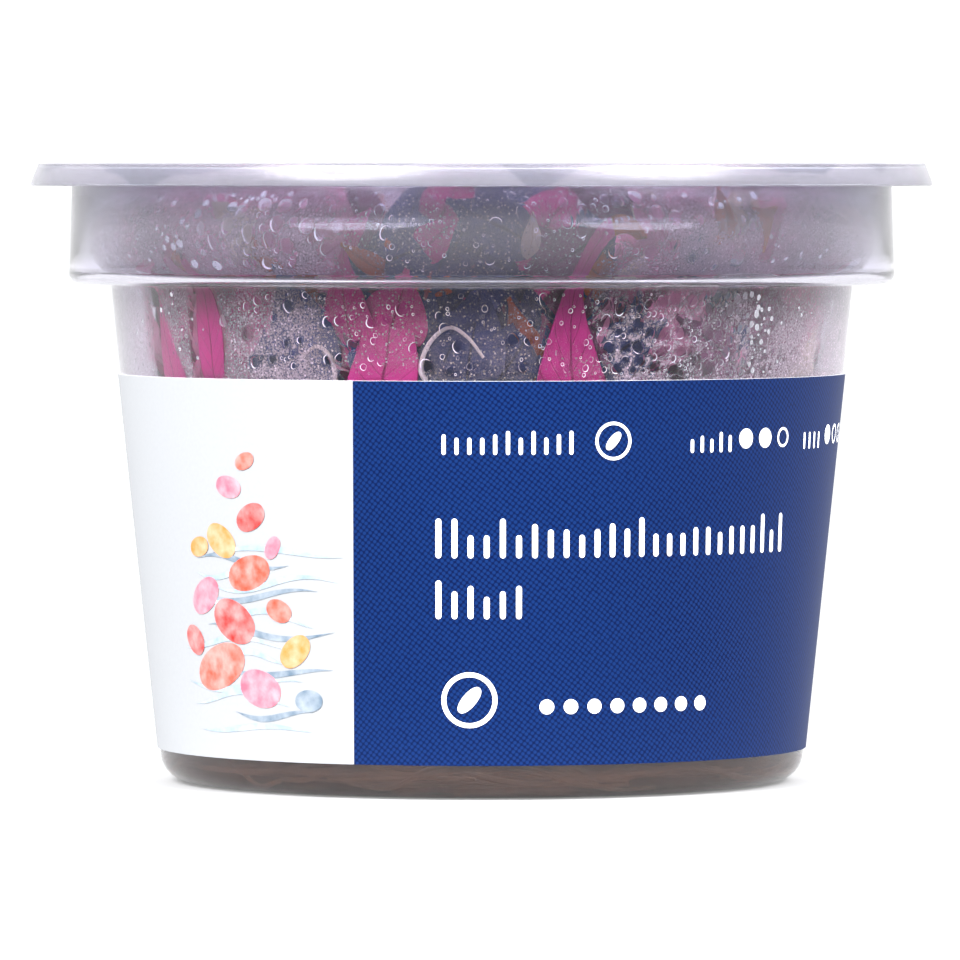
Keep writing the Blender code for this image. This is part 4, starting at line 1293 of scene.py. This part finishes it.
def ring(form, u, v, radius, width, lift, index=0):
    stroke(form, lambda t: (u + radius * math.cos(math.tau * t), v + radius * math.sin(math.tau * t)),
           lambda t: width / 2, 40, 1, lift, index)


def pebble(form, u, v, length, width, turn, lift, index):
    along = (math.cos(math.radians(turn)), math.sin(math.radians(turn)))

    def line(t):
        at = -math.cos(math.pi * t) * length / 2
        return u + along[0] * at, v + along[1] * at

    stroke(form, line, lambda t: width / 2 * math.sin(math.pi * t) ** 0.9, 16, 6, lift, index)


marks = {
    # rows of plain uprights in place of words: first u, last u, foot, full height, pitch, width
    "uprights": [(-4.3, 10.2, 39.2, 2.7, 1.45, 0.46), (25.4, 31.0, 39.2, 2.7, 1.4, 0.46),
                 (45.6, 50.2, 39.2, 2.7, 1.4, 0.46),
                 (-4.9, 42.4, 27.5, 4.5, 1.82, 0.66), (-4.9, 5.0, 20.6, 4.4, 1.82, 0.66)],
    # u, v, radius; the first are filled
    "dots": [(33.6, 40.7, 1.15), (37.0, 40.7, 1.15), (53.2, 40.7, 1.15)],
    "openDots": [(40.5, 40.7, 1.0), (56.6, 40.7, 1.0), (60.0, 40.7, 1.0)],
    "badges": [(15.2, 40.7, 2.0, 0.36), (-1.4, 11.4, 2.9, 0.55)],
    "row": (7.4, 27.0, 10.6, 0.85, 2.8),
    "rises": (0.58, 0.72, 0.72, 0.86, 1.0), "seed": 41, "lift": 0.03, "thick": 0.02,
}


def makeMarks():
    form, deal = bmesh.new(), random.Random(marks["seed"])
    lift = marks["lift"]
    for first, last, foot, height, pitch, width in marks["uprights"]:
        for i in range(int((last - first) / pitch) + 1):
            rise = deal.choice(marks["rises"])
            bar(form, first + pitch * i, foot, foot + height * rise, width, lift)
    for u, v, radius in marks["dots"]:
        disc(form, u, v, radius, lift)
    for u, v, radius in marks["openDots"]:
        ring(form, u, v, radius, 0.3, lift)
    for u, v, radius, width in marks["badges"]:  # a leaf in a ring
        ring(form, u, v, radius, width, lift)
        pebble(form, u, v, radius * 1.25, radius * 0.55, 50, lift, 0)
    first, last, height, radius, pitch = marks["row"]
    for i in range(int((last - first) / pitch) + 1):
        disc(form, first + pitch * i, height, radius, lift)
    bmesh.ops.solidify(form, geom=form.faces[:], thickness=marks["thick"] * mm)
    addPiece("whiteMarks", form, [ink("white")], "label_print")


def makePicture():  # washed stones over pale ripples
    names = ["mist", "slate", "rose", "coral", "scarlet", "amber"]
    form, deal = bmesh.new(), random.Random(43)
    lift = marks["lift"]
    for i in range(15):
        v = 7.5 + 1.75 * i * (1 - 0.012 * i)
        middle, reach = -29 + 3.5 * math.sin(1.9 * i), 5 + 4.5 * abs(math.sin(2.3 * i + 1))
        bend, phase = deal.uniform(0.4, 1.1), deal.uniform(0, 6)

        def line(t, v=v, middle=middle, reach=reach, bend=bend, phase=phase):
            return middle + reach * (2 * t - 1), v + bend * math.sin(5.5 * t + phase)

        stroke(form, line, lambda t: 0.36 * math.sin(math.pi * t), 40, 2, lift + 0.001 * i, i % 3 % 2)
    stones = [  # u, v, length, width, turn, ink
        (-34, 14.5, 8.6, 5.0, 20, 3), (-27.5, 12.2, 6.2, 4.2, -15, 2), (-31.5, 19.8, 7.0, 4.6, -25, 4),
        (-36.5, 22.6, 5.4, 3.6, 35, 2), (-29.0, 25.4, 6.4, 3.9, 15, 3), (-33.4, 29.0, 5.2, 3.4, -30, 5),
        (-28.6, 31.8, 4.4, 3.0, 25, 4), (-32.0, 35.2, 4.0, 2.5, -10, 2), (-22.4, 16.6, 4.6, 3.1, 40, 5),
        (-38.8, 17.4, 4.0, 2.9, -40, 4), (-24.6, 21.2, 3.6, 2.5, -20, 3), (-29.4, 38.2, 2.9, 1.9, 20, 3),
        (-37.4, 28.2, 3.4, 2.3, 10, 5), (-25.4, 28.4, 2.8, 1.9, 60, 2), (-20.6, 11.0, 3.6, 2.5, 0, 1),
    ]
    for i, (u, v, length, width, turn, index) in enumerate(stones):
        pebble(form, u, v, length, width, turn, lift + 0.02 + 0.002 * i, index)
    bmesh.ops.solidify(form, geom=form.faces[:], thickness=marks["thick"] * mm)
    addPiece("printedStones", form, [ink(name) for name in names], "label_print")


# Building it all

makeStage()
print("stage set")
blades = makeLeaves() + makeLeaning()
cloud = [vert.co.copy() for blade in blades for vert in blade.data.vertices]
cells, count = [], 0
for blade in blades:
    cells += [[count + i for i in face.vertices] for face in blade.data.polygons]
    count += len(blade.data.vertices)
leafTree = BVHTree.FromPolygons(cloud, cells)
print("leaves grown", len(blades))
makeStems()
makeShoots()
makeRoots()
print("stems, shoots and roots grown")
windowDrops = dealDrops(dropSets["window"], wallInside, leafTree)
bandDrops = dealDrops(dropSets["band"], plugInside, leafTree)
panelDrops = dealPanelDrops(dropSets["panel"])
print("drops dealt", len(windowDrops["all"]), len(bandDrops["all"]), len(panelDrops["all"]))
addDrops("windowDrops", windowDrops, onWall(wallInside, windowDrops["radius"]))
addDrops("bandDrops", bandDrops, onWall(plugInside, bandDrops["radius"]))
addDrops("panelDrops", panelDrops, underPanel)
makeGel()
makePools()
makeCup(leafTree, windowDrops)
makeLid(leafTree, bandDrops)
print("cup, lid, gel and water made")
makeLabel()
makeMarks()
makePicture()
print("label printed")
